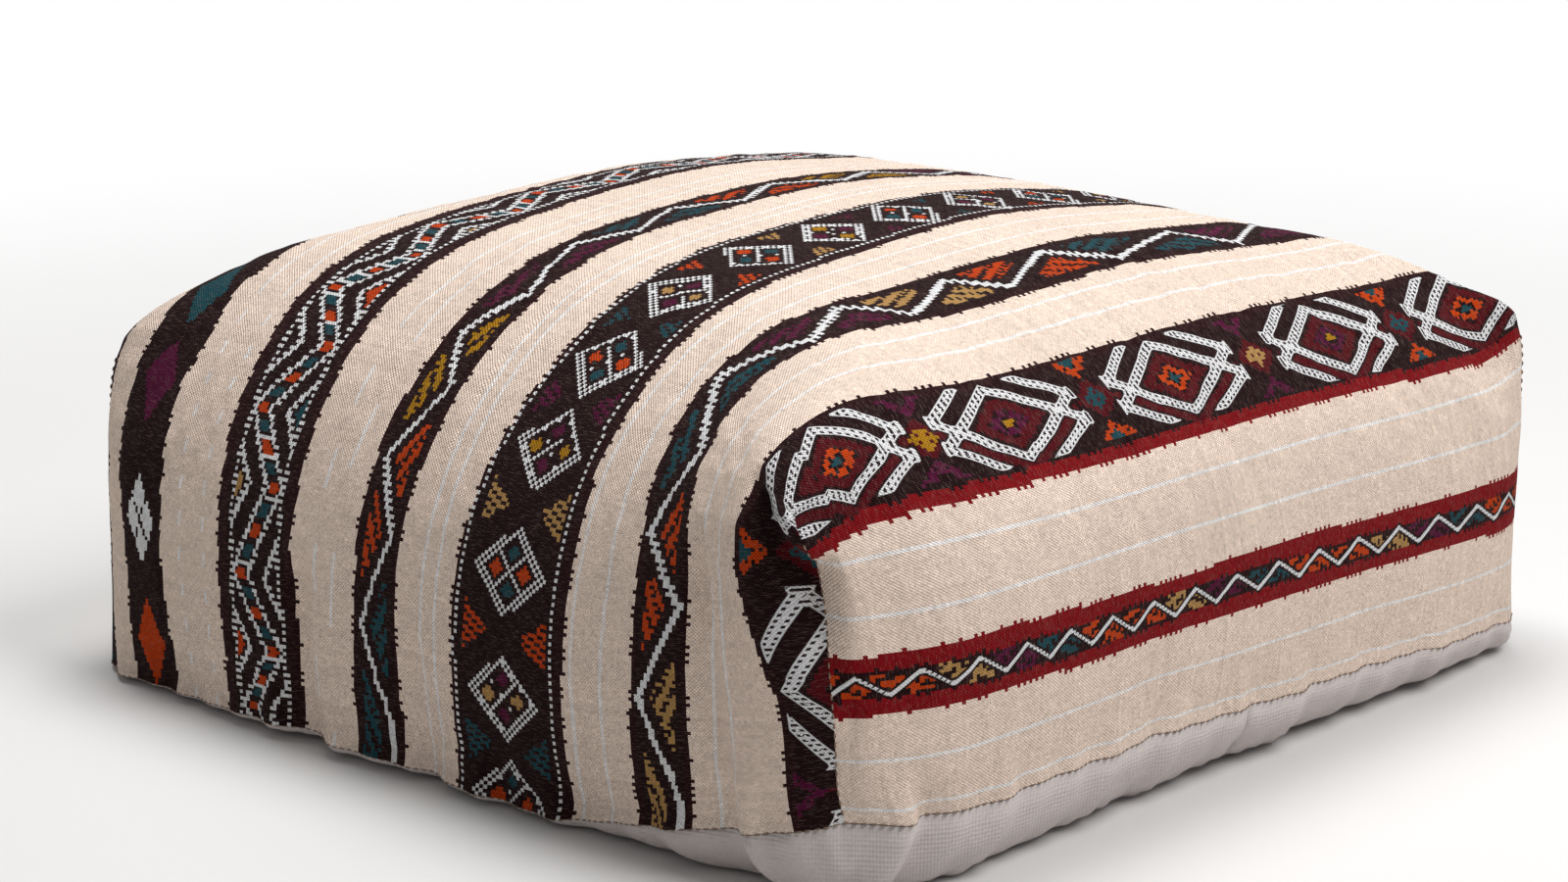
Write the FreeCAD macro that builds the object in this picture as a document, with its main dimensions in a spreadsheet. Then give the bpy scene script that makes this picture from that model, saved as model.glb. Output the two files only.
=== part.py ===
"""Square kilim floor pouf: a wool cover with a canvas base, a base zip and a stuffed insert.

Millimetres, +Z up, origin on the floor under the middle of the pouf. The zip runs along X in a
shallow recess of the base, so that nothing on it touches the floor. It is shut at rest, with the
slider at its +X end, and opens towards -X.
"""

import FreeCAD, Part
import math
import os

import Sketcher

# Driving dimensions: name, size in millimetres (angles in degrees), what it measures
DIMENSIONS = (
    ("cover_width", 600, "cover along X, at the belly"),
    ("cover_depth", 600, "cover along Y, at the belly"),
    ("total_height", 270, "floor to the top of the crown"),
    ("crown_drop", 38, "crown above the end of the shoulder curve"),
    ("crown_radius", 1035, "dome over the middle and the corners of the top"),
    ("vault_rise", 2, "vaults over the sides, above the dome at the middle"),
    ("shoulder_radius", 134, "rounding from the skirt into the top"),
    ("shoulder_angle", 59, "turn of the shoulder curve before the crown takes over"),
    ("lip_run", 10, "lip in from the end of the shoulder curve, under the crown's edge"),
    ("lip_rise", 5, "lip above the end of the shoulder curve"),
    ("crown_overlap", 0.5, "crown's edge above the end of the shoulder curve"),
    ("belly_height", 105, "height at which the skirt reaches its full width"),
    ("seam_height", 30, "height of the base seam"),
    ("seam_tuck", 8, "how far the base seam draws in from the belly"),
    ("corner_radius", 76, "plan rounding of the skirt corners at the belly"),
    ("least_corner", 3, "plan rounding left where the form draws in furthest"),
    ("base_rim", 46, "width of the canvas rim that curves down to the flat base"),
    ("kilim_thickness", 3, "wool cloth"),
    ("canvas_thickness", 1.2, "cotton canvas"),
    ("seam_thread", 1.2, "height of the base seam's thread"),
    ("corner_seam_width", 1.5, "width of a corner seam's thread"),
    ("corner_seam_drop", 85, "top of the crown to the upper end of a corner seam"),
    ("corner_seam_depth", 60, "reach of the corner slits in from the sides"),
    ("insert_side_gap", 4, "cover to insert at the sides"),
    ("insert_clearance", 0.3, "cover to insert above and below, and slider to insert"),
    ("case_thickness", 0.8, "calico of the insert's case"),
    ("case_thread", 1, "height of a case seam's thread"),
    ("case_seam_drop", 75, "top of the crown to the upper case seam"),
    ("case_bottom_seam", 45, "height of the lower case seam"),
    ("filling_clearance", 0.3, "case to filling"),
    ("zip_length", 380, "length of the zip's opening"),
    ("zip_slot_width", 15, "gap between the base panels along the zip"),
    ("zip_slot_margin", 6, "slot beyond the zip's opening at each end"),
    ("recess_depth", 9, "rise of the canvas over the zip"),
    ("recess_width", 44, "width of the raised strip"),
    ("recess_margin", 24, "raised strip beyond the zip's opening at each end"),
    ("recess_slope", 14, "run of the slope around the raised strip"),
    ("insert_recess_spread", 8, "extra run of the slope in the insert's underside"),
    ("tape_width", 18, "zip tape across"),
    ("tape_thickness", 0.8, "zip tape"),
    ("tape_gap", 3.2, "between the inner edges of the two tapes"),
    ("tape_overhang", 14, "tape beyond the zip's opening at each end"),
    ("tooth_pitch", 5.5, "tooth to tooth in one row"),
    ("tooth_width", 2.4, "tooth along the zip"),
    ("tooth_thickness", 3, "tooth through the tape"),
    ("tooth_reach", 0.9, "nose of a tooth past the zip's middle"),
    ("tooth_back", 4.2, "back of a tooth from the zip's middle"),
    ("stop_length", 4, "stop along the zip"),
    ("stop_clearance", 0.3, "slider to its stops"),
    ("zip_thread_width", 0.8, "zip stitching across"),
    ("zip_thread_height", 0.4, "zip stitching below the canvas"),
    ("zip_thread_offset", 12, "zip stitching from the zip's middle"),
    ("slider_length", 20, "slider along the zip"),
    ("slider_rear_width", 10.6, "slider over the shut chain"),
    ("slider_front_width", 13.6, "slider over the parted chain"),
    ("slider_nose_length", 5, "tapered front of the slider"),
    ("slider_nose_width", 9, "slider at its front end"),
    ("slider_plate", 1.2, "each plate of the slider"),
    ("slider_flange", 0.9, "flange along each edge of the plates"),
    ("chain_clearance", 0.2, "teeth and tape to the slider"),
    ("wedge_length", 8, "wedge that parts the teeth"),
    ("wedge_width", 2.8, "wedge across"),
    ("wedge_setback", 1, "wedge behind the slider's front end"),
    ("lug_radius", 1.7, "lug that holds the pull"),
    ("lug_width", 2.4, "lug across"),
    ("lug_root", 4.6, "foot of the lug along the slider"),
    ("bar_radius", 0.8, "cross bar of the pull"),
    ("bar_clearance", 0.08, "cross bar to its hole, all round"),
    ("arm_gap", 3, "between the pull's two arms"),
    ("pull_length", 26, "cross bar to the tip of the pull"),
    ("pull_width", 7, "pull across"),
    ("pull_thickness", 1.4, "pull"),
    ("arm_length", 6, "cross bar to the solid part of the pull"),
    ("pull_hole_length", 7, "finger hole along the pull, between its round ends"),
    ("pull_hole_width", 3, "finger hole across"),
    ("pull_rim", 2.5, "tip of the pull to its finger hole"),
)

SUB_PARTS = (
    "kilim_cover",
    "corner_seam_stitching",
    "base_seam_stitching",
    "base_panel_front",
    "base_panel_back",
    "zip_tape_front",
    "zip_tape_back",
    "zip_teeth_front",
    "zip_teeth_back",
    "zip_closed_stops",
    "zip_open_stop",
    "zip_stitching_front",
    "zip_stitching_back",
    "zip_slider",
    "zip_pull",
    "insert_top_panel",
    "insert_side_band",
    "insert_bottom_panel",
    "insert_seam_stitching",
    "fibre_filling",
)

# Angles of the canvas rim, in degrees, and shares of the shoulder's turn at which a form has a section
RIM_ANGLES = (90, 60, 30)
SHOULDER_SHARES = (0, 0.25, 0.5, 0.75, 1)
INSERT_RIM_ANGLES = (90,)
INSERT_SHOULDER_SHARES = (0, 0.5, 1)

# Heights worked out from the driving dimensions
SHOULDER_CENTRE = "(Dims.total_height - Dims.crown_drop - Dims.shoulder_radius * sin(Dims.shoulder_angle))"
SEAM_LOW = "(Dims.seam_height - Dims.seam_thread / 2)"
SEAM_HIGH = "(Dims.seam_height + Dims.seam_thread / 2)"
TAPE_MIDDLE = "(Dims.recess_depth + Dims.canvas_thickness + Dims.tape_thickness / 2)"
CASE_TOP_SEAM = "(Dims.total_height - Dims.case_seam_drop)"
CHANNEL_HALF = "(Dims.tooth_thickness / 2 + Dims.chain_clearance)"
SLIDER_HALF = f"({CHANNEL_HALF} + Dims.slider_plate)"

# Places along the zip, from its shut end at +X
CLOSED_END = "(Dims.zip_length / 2)"
OPEN_END = "(-Dims.zip_length / 2)"
SLIDER_FRONT = f"({CLOSED_END} - Dims.stop_length - Dims.stop_clearance)"
SLIDER_MIDDLE = f"({SLIDER_FRONT} - Dims.slider_length / 2)"
LAST_TOOTH = f"({SLIDER_FRONT} - Dims.wedge_setback - Dims.wedge_length - Dims.tooth_width)"
FIRST_TOOTH = f"({OPEN_END} + Dims.stop_length + Dims.tooth_pitch)"
REACH = "(Dims.cover_width + Dims.cover_depth)"

doc = FreeCAD.newDocument("KilimPouf")


def make_sheet():
    """Spreadsheet of the driving dimensions: name, size and note in each row."""
    sheet = doc.addObject("Spreadsheet::Sheet", "Dims")
    for row, (name, value, note) in enumerate(DIMENSIONS, start=1):
        sheet.set(f"A{row}", name)
        sheet.set(f"B{row}", str(value))
        sheet.setAlias(f"B{row}", name)
        sheet.set(f"C{row}", note)
    doc.recompute()


def bind(item, **formulas):
    """Bind properties of an object to formulas over the sheet."""
    for name, formula in formulas.items():
        item.setExpression(name.replace("__", "."), formula)
    return item


def make_box(name, x, y, z):
    """Box from three (start, length) pairs of formulas."""
    item = doc.addObject("Part::Box", name)
    bind(item, Length=x[1], Width=y[1], Height=z[1])
    return bind(item, Placement__Base__x=x[0], Placement__Base__y=y[0], Placement__Base__z=z[0])


def cut(name, base, tool):
    item = doc.addObject("Part::Cut", name)
    item.Base = base
    item.Tool = tool
    return item


def common(name, base, tool):
    item = doc.addObject("Part::Common", name)
    item.Base = base
    item.Tool = tool
    return item


def fuse(name, shapes):
    item = doc.addObject("Part::MultiFuse", name)
    item.Shapes = shapes
    return item


# Pillow forms


def level(inset, height):
    """Formulas of one section: a rectangle with rounded corners, set in from the belly."""
    return {
        "half_x": f"Dims.cover_width / 2 - ({inset})",
        "half_y": f"Dims.cover_depth / 2 - ({inset})",
        "corner": f"max(Dims.corner_radius - ({inset}); Dims.least_corner)",
        "height": height,
    }


def rim_levels(side, under, angles):
    """Rim of the base: a quarter turn from the flat base up to the base seam."""
    levels = {}
    for angle in angles:
        inset = f"Dims.seam_tuck + Dims.base_rim - (Dims.base_rim - {side}) * cos({angle})"
        height = f"Dims.seam_height - (Dims.seam_height - {under}) * sin({angle})"
        levels[f"rim{angle}"] = level(inset, height)
    return levels


def seam_level(side, height):
    return level(f"Dims.seam_tuck + {side}", height)


def upper_levels(side, above, shares):
    """Belly, shoulder curve and a lip that runs up past the crown, drawn in by side and by above."""
    levels = {"belly": level(side, "Dims.belly_height")}
    for number, share in enumerate(shares):
        angle = f"(Dims.shoulder_angle * {share})"
        inset = f"Dims.shoulder_radius - (Dims.shoulder_radius - {side}) * cos{angle}"
        height = f"{SHOULDER_CENTRE} + (Dims.shoulder_radius - {above}) * sin{angle}"
        levels[f"shoulder{number}"] = level(inset, height)
    lip = f"{inset} + Dims.lip_run"
    levels["lip"] = level(lip, f"{height} + Dims.lip_rise")
    levels["above_crown"] = level(lip, "Dims.total_height + Dims.crown_drop")
    return levels


def make_section(form, name):
    """Closed sketch of four straight sides and four corner arcs, tangent all round."""
    half_x, half_y, corner = (getattr(form, f"{name}_{key}") for key in ("half_x", "half_y", "corner"))
    flat_x = half_x - corner
    flat_y = half_y - corner
    quarter = math.pi / 2
    sketch = doc.addObject("Sketcher::SketchObject", f"{form.Name}_{name}")
    up = FreeCAD.Vector(0, 0, 1)
    sides = (
        ((half_x, -flat_y), (half_x, flat_y), (flat_x, flat_y)),
        ((flat_x, half_y), (-flat_x, half_y), (-flat_x, flat_y)),
        ((-half_x, flat_y), (-half_x, -flat_y), (-flat_x, -flat_y)),
        ((-flat_x, -half_y), (flat_x, -half_y), (flat_x, -flat_y)),
    )
    for number, (start, end, centre) in enumerate(sides):
        sketch.addGeometry(Part.LineSegment(FreeCAD.Vector(*start, 0), FreeCAD.Vector(*end, 0)))
        circle = Part.Circle(FreeCAD.Vector(*centre, 0), up, corner)
        sketch.addGeometry(Part.ArcOfCircle(circle, number * quarter, (number + 1) * quarter))
    for number in range(len(sides)):
        side = 2 * number
        sketch.addConstraint(Sketcher.Constraint("Tangent", side, 2, side + 1, 1))
        sketch.addConstraint(Sketcher.Constraint("Tangent", side + 1, 2, (side + 2) % 8, 1))
        sketch.addConstraint(Sketcher.Constraint("Horizontal" if number % 2 else "Vertical", side))
        if number:
            sketch.addConstraint(Sketcher.Constraint("Equal", 1, side + 1))
    sizes = (
        (Sketcher.Constraint("DistanceX", -1, 1, 0, 1, half_x), "{0}_half_x"),
        (Sketcher.Constraint("DistanceY", -1, 1, 2, 1, half_y), "{0}_half_y"),
        (Sketcher.Constraint("DistanceX", -1, 1, 4, 1, -half_x), "-{0}_half_x"),
        (Sketcher.Constraint("DistanceY", -1, 1, 6, 1, -half_y), "-{0}_half_y"),
        (Sketcher.Constraint("Radius", 1, corner), "{0}_corner"),
    )
    for constraint, formula in sizes:
        index = sketch.addConstraint(constraint)
        sketch.setExpression(f"Constraints[{index}]", formula.format(f"{form.Name}.{name}"))
    return bind(sketch, Placement__Base__z=f"{form.Name}.{name}_height")


def make_loft(name, levels):
    """Loft through the sections of a form, whose sizes are kept in a set of values."""
    form = doc.addObject("App::VarSet", f"{name}_sizes")
    for section, formulas in levels.items():
        for key, formula in formulas.items():
            form.addProperty("App::PropertyFloat", f"{section}_{key}")
            form.setExpression(f"{section}_{key}", formula)
    doc.recompute()
    loft = doc.addObject("Part::Loft", name)
    loft.Sections = [make_section(form, section) for section in levels]
    loft.Solid = True
    loft.Ruled = True
    return loft


def make_vault(name, overall, above, turn):
    """Long shallow vault over two opposite sides: a cylinder through the ends of their shoulders."""
    half = f"({overall} / 2 - Dims.shoulder_radius * (1 - cos(Dims.shoulder_angle)))"
    rise = "(Dims.crown_drop + Dims.vault_rise - Dims.crown_overlap)"
    radius = f"({half}^2 + {rise}^2) / (2 * {rise})"
    vault = doc.addObject("Part::Cylinder", name)
    bind(vault, Radius=f"{radius} - {above}", Height=f"2 * {REACH}")
    vault.Placement.Rotation = turn
    bind(vault, Placement__Base__z=f"Dims.total_height + Dims.vault_rise - {radius}")
    return vault


def make_pillow(name, levels, above):
    """Soft box: a loft for its sides, topped by a crown of two crossing vaults and a dome."""
    along_x = make_vault(f"{name}_vault_x", "Dims.cover_depth", above,
                         FreeCAD.Rotation(FreeCAD.Vector(0, 1, 0), 90))
    bind(along_x, Placement__Base__x=f"-{REACH}")
    along_y = make_vault(f"{name}_vault_y", "Dims.cover_width", above,
                         FreeCAD.Rotation(FreeCAD.Vector(1, 0, 0), -90))
    bind(along_y, Placement__Base__y=f"-{REACH}")
    dome = doc.addObject("Part::Sphere", f"{name}_dome")
    dome.Placement.Rotation = FreeCAD.Rotation(FreeCAD.Vector(0, 1, 0), 90)
    bind(dome, Radius=f"Dims.crown_radius - {above}")
    bind(dome, Placement__Base__z="Dims.total_height - Dims.crown_radius")
    sides = make_loft(f"{name}_sides", levels)
    pillow = doc.addObject("Part::MultiCommon", name)
    pillow.Shapes = [sides, along_x, along_y, dome]
    return pillow


def make_recess(name, spread, roof):
    """Frustum over the zip: wide on the floor, narrow at its roof."""
    half_length = "(Dims.zip_length / 2 + Dims.recess_margin)"
    half_width = "(Dims.recess_width / 2)"
    run = f"(Dims.recess_slope + {spread})"
    wedge = doc.addObject("Part::Wedge", name)
    bind(wedge, Xmin=f"-{half_length} - {run}", Xmax=f"{half_length} + {run}", Ymin="0", Ymax=roof)
    bind(wedge, Zmin=f"-{half_width} - {run}", Zmax=f"{half_width} + {run}")
    bind(wedge, X2min=f"-{half_length}", X2max=half_length, Z2min=f"-{half_width}", Z2max=half_width)
    wedge.Placement = FreeCAD.Placement(FreeCAD.Vector(), FreeCAD.Rotation(FreeCAD.Vector(1, 0, 0), 90))
    return wedge


# Cover


def make_cover():
    """Kilim cover, crowned and boxed, with its corner slits and the seams that close them."""
    outside = {"seam": seam_level("0", SEAM_HIGH), **upper_levels("0", "0", SHOULDER_SHARES)}
    cloth = "Dims.kilim_thickness"
    below = f"{SEAM_HIGH} - Dims.seam_thread"
    inside = {"seam": seam_level(cloth, below), **upper_levels(cloth, cloth, SHOULDER_SHARES)}
    outer = make_pillow("kilim_outside", outside, "0")
    shell = cut("kilim_shell", outer, make_pillow("kilim_inside", inside, cloth))
    slits = []
    for number in range(4):
        angle = 45 + 90 * number
        sign_x = round(math.cos(math.radians(angle)) * math.sqrt(2))
        sign_y = round(math.sin(math.radians(angle)) * math.sqrt(2))
        slit = make_box(
            f"corner_slit_{number + 1}",
            (f"{sign_x} * (Dims.cover_width / 2 - Dims.corner_seam_depth)"
             f" + Dims.corner_seam_width / 2 * sin({angle})", "2 * Dims.corner_seam_depth"),
            (f"{sign_y} * (Dims.cover_depth / 2 - Dims.corner_seam_depth)"
             f" - Dims.corner_seam_width / 2 * cos({angle})", "Dims.corner_seam_width"),
            (SEAM_LOW, f"Dims.total_height - Dims.corner_seam_drop - {SEAM_LOW}"),
        )
        slit.Placement.Rotation = FreeCAD.Rotation(FreeCAD.Vector(0, 0, 1), angle)
        slits.append(slit)
    corner_slits = fuse("corner_slits", slits)
    cut("kilim_cover", shell, corner_slits)
    common("corner_seam_stitching", shell, corner_slits)


def make_base():
    """Canvas base in two halves, raised over the zip, and the thread that sews it to the cover."""
    canvas = "Dims.canvas_thickness"
    outside = {**rim_levels("0", "0", RIM_ANGLES), "seam": seam_level("0", SEAM_LOW)}
    above = f"{SEAM_LOW} + Dims.seam_thread"
    inside = {**rim_levels(canvas, canvas, RIM_ANGLES), "seam": seam_level(canvas, above)}
    roof = f"Dims.recess_depth + {canvas}"
    hollow = cut("base_hollow", make_loft("base_inside", inside), make_recess("base_hump", canvas, roof))
    tray = cut("base_tray", make_loft("base_outside", outside), hollow)
    raised = cut("base_raised", tray, make_recess("base_recess", "0", "Dims.recess_depth"))
    half_slot = "(Dims.zip_length / 2 + Dims.zip_slot_margin)"
    slot = make_box(
        "zip_slot",
        (f"-{half_slot}", f"2 * {half_slot}"),
        ("-Dims.zip_slot_width / 2", "Dims.zip_slot_width"),
        ("0", "Dims.seam_height"),
    )
    slotted = cut("base_slotted", raised, slot)
    for side, start in (("front", f"-{REACH}"), ("back", "0")):
        half = make_box(f"base_half_{side}", (f"-{REACH}", f"2 * {REACH}"), (start, REACH), ("0", REACH))
        common(f"base_panel_{side}", slotted, half)
    ring = {"low": seam_level("0", SEAM_LOW), "high": seam_level("0", SEAM_HIGH)}
    hole = {
        "low": seam_level(canvas, f"{SEAM_LOW} - Dims.seam_thread"),
        "high": seam_level(canvas, f"{SEAM_HIGH} + Dims.seam_thread"),
    }
    cut("base_seam_stitching", make_loft("seam_ring", ring), make_loft("seam_hole", hole))


# Insert


def insert_solid(name, layers):
    """Pillow inside the cover, set in by the layers that lie around it."""
    side = f"(Dims.kilim_thickness + Dims.insert_side_gap + {layers})"
    above = f"(Dims.kilim_thickness + Dims.insert_clearance + {layers})"
    under = f"(Dims.canvas_thickness + Dims.insert_clearance + {layers})"
    levels = {
        **rim_levels(side, under, INSERT_RIM_ANGLES),
        "seam": seam_level(side, "Dims.seam_height"),
        **upper_levels(side, above, INSERT_SHOULDER_SHARES),
    }
    roof = f"{TAPE_MIDDLE} + {SLIDER_HALF} + Dims.insert_clearance + {layers}"
    recess = make_recess(f"{name}_recess", f"Dims.insert_recess_spread + {layers}", roof)
    return cut(name, make_pillow(f"{name}_form", levels, above), recess)


def make_insert():
    """Stuffed case: three panels, the seams between them and the fibre filling."""
    case = "Dims.case_thickness"
    shell = cut("case_shell", insert_solid("case_outside", "0"), insert_solid("case_inside", case))
    thread = "Dims.case_thread"
    slices = (
        ("insert_bottom_panel", "0", f"Dims.case_bottom_seam - {thread} / 2"),
        ("lower_case_seam", f"Dims.case_bottom_seam - {thread} / 2", thread),
        ("insert_side_band", f"Dims.case_bottom_seam + {thread} / 2",
         f"{CASE_TOP_SEAM} - Dims.case_bottom_seam - {thread}"),
        ("upper_case_seam", f"{CASE_TOP_SEAM} - {thread} / 2", thread),
        ("insert_top_panel", f"{CASE_TOP_SEAM} + {thread} / 2", "Dims.total_height"),
    )
    span = (f"-{REACH}", f"2 * {REACH}")
    slabs = {name: make_box(f"{name}_slab", span, span, (start, height)) for name, start, height in slices}
    for name in ("insert_bottom_panel", "insert_side_band", "insert_top_panel"):
        common(name, shell, slabs[name])
    seams = fuse("case_seam_slabs", [slabs["lower_case_seam"], slabs["upper_case_seam"]])
    common("insert_seam_stitching", shell, seams)
    insert_solid("fibre_filling", f"({case} + Dims.filling_clearance)")


# Zip


def make_body(name, x="0", y="0", z="0"):
    """Body placed at a point given by formulas."""
    body = doc.addObject("PartDesign::Body", name)
    body.AllowCompound = True
    return bind(body, Placement__Base__x=x, Placement__Base__y=y, Placement__Base__z=z)


def origin_part(body, role):
    return next(item for item in body.Origin.OriginFeatures if item.Role == role)


def make_sketch(body, name, plane):
    sketch = body.newObject("Sketcher::SketchObject", name)
    sketch.AttachmentSupport = [(origin_part(body, plane), "")]
    sketch.MapMode = "FlatFace"
    return sketch


def place_point(sketch, geometry, position, point):
    """Hold one point of a sketch at a pair of formulas, measured from the sketch's origin."""
    for axis, formula in zip("XY", point):
        index = sketch.addConstraint(Sketcher.Constraint(f"Distance{axis}", -1, 1, geometry, position, 1))
        sketch.setExpression(f"Constraints[{index}]", formula)


def add_polygon(sketch, points):
    """Closed polygon through points given as pairs of formulas."""
    first = sketch.GeometryCount
    count = len(points)
    corners = [FreeCAD.Vector(math.cos(2 * math.pi * k / count), math.sin(2 * math.pi * k / count), 0)
               for k in range(count)]
    for number in range(count):
        sketch.addGeometry(Part.LineSegment(corners[number], corners[(number + 1) % count]))
    for number, point in enumerate(points):
        following = first + (number + 1) % count
        sketch.addConstraint(Sketcher.Constraint("Coincident", first + number, 2, following, 1))
        place_point(sketch, first + number, 1, point)


def add_circle(sketch, centre, radius):
    """Circle with its centre and radius given as formulas."""
    number = sketch.addGeometry(Part.Circle(FreeCAD.Vector(1, 1, 0), FreeCAD.Vector(0, 0, 1), 1))
    place_point(sketch, number, 3, centre)
    index = sketch.addConstraint(Sketcher.Constraint("Radius", number, 1))
    sketch.setExpression(f"Constraints[{index}]", radius)


def mirrored(points):
    """Points of one half of an outline and their mirror images across its first axis."""
    return points + [(x, f"-({y})") for x, y in reversed(points)]


def extrude(body, kind, name, sketch, length):
    """Pad or Pocket of a sketch, even on both sides of it."""
    feature = body.newObject(f"PartDesign::{kind}", name)
    feature.Profile = sketch
    feature.Midplane = True
    return bind(feature, Length=length)


def make_tapes():
    for side, start in (("front", "-Dims.tape_gap / 2 - Dims.tape_width"), ("back", "Dims.tape_gap / 2")):
        make_box(
            f"zip_tape_{side}",
            (f"{OPEN_END} - Dims.tape_overhang", "Dims.zip_length + 2 * Dims.tape_overhang"),
            (start, "Dims.tape_width"),
            ("Dims.recess_depth + Dims.canvas_thickness", "Dims.tape_thickness"),
        )


def clip_points(sign, inner):
    """Outline across the zip of a piece that grips one tape: sign picks the tape, inner its nose."""
    half = "Dims.tooth_thickness / 2"
    slot = "Dims.tape_thickness / 2"
    edge = f"{sign} * Dims.tape_gap / 2"
    back = f"{sign} * Dims.tooth_back"
    nose = f"{sign} * {inner}"
    return [(nose, f"-{half}"), (back, f"-{half}"), (back, f"-{slot}"), (edge, f"-{slot}"),
            (edge, slot), (back, slot), (back, half), (nose, half)]


def make_teeth():
    """Two rows of teeth that grip the tapes and mesh half a pitch apart."""
    for side, sign, shift in (("front", -1, "0"), ("back", 1, "Dims.tooth_pitch / 2")):
        body = make_body(f"zip_teeth_{side}", x=f"{FIRST_TOOTH} + {shift}", z=TAPE_MIDDLE)
        profile = make_sketch(body, f"tooth_{side}", "YZ_Plane")
        add_polygon(profile, clip_points(sign, "-Dims.tooth_reach"))
        tooth = extrude(body, "Pad", f"tooth_pad_{side}", profile, "Dims.tooth_width")
        row = body.newObject("PartDesign::LinearPattern", f"tooth_row_{side}")
        row.Originals = [tooth]
        row.Direction = (origin_part(body, "X_Axis"), [""])
        row.Mode = "Spacing"
        span = f"({LAST_TOOTH} - {FIRST_TOOTH} - {shift})"
        bind(row, Offset="Dims.tooth_pitch", Occurrences=f"floor({span} / Dims.tooth_pitch) + 1")
        body.Tip = row


def make_stops():
    """A stop on each tape at the shut end, and one across both tapes at the open end."""
    closed = make_body("zip_closed_stops", x=f"{CLOSED_END} - Dims.stop_length / 2", z=TAPE_MIDDLE)
    for side, sign in (("front", -1), ("back", 1)):
        profile = make_sketch(closed, f"closed_stop_{side}", "YZ_Plane")
        add_polygon(profile, clip_points(sign, "Dims.tape_gap / 4"))
        extrude(closed, "Pad", f"closed_stop_pad_{side}", profile, "Dims.stop_length")
    bridge = make_body("zip_open_stop", x=f"{OPEN_END} + Dims.stop_length / 2", z=TAPE_MIDDLE)
    profile = make_sketch(bridge, "open_stop", "YZ_Plane")
    add_polygon(profile, clip_points(1, "0")[1:-1] + clip_points(-1, "0")[-2:0:-1])
    extrude(bridge, "Pad", "open_stop_pad", profile, "Dims.stop_length")


def make_zip_stitching():
    for side, sign in (("front", -1), ("back", 1)):
        make_box(
            f"zip_stitching_{side}",
            (f"{OPEN_END} - Dims.zip_slot_margin", "Dims.zip_length + 2 * Dims.zip_slot_margin"),
            (f"{sign} * Dims.zip_thread_offset - Dims.zip_thread_width / 2", "Dims.zip_thread_width"),
            ("Dims.recess_depth - Dims.zip_thread_height", "Dims.zip_thread_height"),
        )


def make_slider():
    """Slider: two plates joined by the wedge, with flanges over the tapes and a lug underneath."""
    body = make_body("zip_slider", x=SLIDER_MIDDLE, z=TAPE_MIDDLE)
    half = "Dims.slider_length / 2"
    shoulder = f"{half} - Dims.slider_nose_length"
    outline = make_sketch(body, "slider_outline", "XY_Plane")
    add_polygon(outline, mirrored([(f"-{half}", "-Dims.slider_rear_width / 2"),
                                   (shoulder, "-Dims.slider_front_width / 2"),
                                   (half, "-Dims.slider_nose_width / 2")]))
    extrude(body, "Pad", "slider_plates", outline, f"2 * {SLIDER_HALF}")

    tip = f"{half} - Dims.wedge_setback"
    wedge = mirrored([(tip, "Dims.wedge_width / 4"),
                      (f"{tip} - Dims.wedge_length / 2", "Dims.wedge_width / 2"),
                      (f"{tip} - Dims.wedge_length", "Dims.wedge_width / 8")])
    flange = "Dims.slider_flange"
    channel = make_sketch(body, "chain_channel", "XY_Plane")
    add_polygon(channel, mirrored([(f"-{half} - {flange}", f"-(Dims.slider_rear_width / 2 - {flange})"),
                                   (f"-{half}", f"-(Dims.slider_rear_width / 2 - {flange})"),
                                   (shoulder, f"-(Dims.slider_front_width / 2 - {flange})"),
                                   (f"{half} + {flange}", f"-(Dims.slider_front_width / 2 - {flange})")]))
    add_polygon(channel, wedge)
    extrude(body, "Pocket", "chain_channel_pocket", channel, f"2 * {CHANNEL_HALF}")

    sides = make_sketch(body, "tape_slot", "XY_Plane")
    add_polygon(sides, mirrored([("-Dims.slider_length", "-Dims.slider_front_width"),
                                 ("Dims.slider_length", "-Dims.slider_front_width")]))
    add_polygon(sides, wedge)
    extrude(body, "Pocket", "tape_slot_pocket", sides, "Dims.tape_thickness + 2 * Dims.chain_clearance")

    lug_centre = f"-({SLIDER_HALF} + Dims.lug_radius)"
    lug = make_sketch(body, "lug_foot", "XZ_Plane")
    sink = f"-({SLIDER_HALF} - Dims.slider_plate / 2)"
    add_polygon(lug, [("-Dims.lug_root", sink), ("-Dims.lug_radius", lug_centre),
                      ("Dims.lug_radius", lug_centre), ("Dims.lug_root", sink)])
    extrude(body, "Pad", "lug_foot_pad", lug, "Dims.lug_width")
    ring = make_sketch(body, "lug_ring", "XZ_Plane")
    add_circle(ring, ("0", lug_centre), "Dims.lug_radius")
    extrude(body, "Pad", "lug_ring_pad", ring, "Dims.lug_width")
    bore = make_sketch(body, "lug_bore", "XZ_Plane")
    add_circle(bore, ("0", lug_centre), "Dims.bar_radius + Dims.bar_clearance")
    extrude(body, "Pocket", "lug_bore_pocket", bore, "2 * Dims.lug_width")


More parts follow.
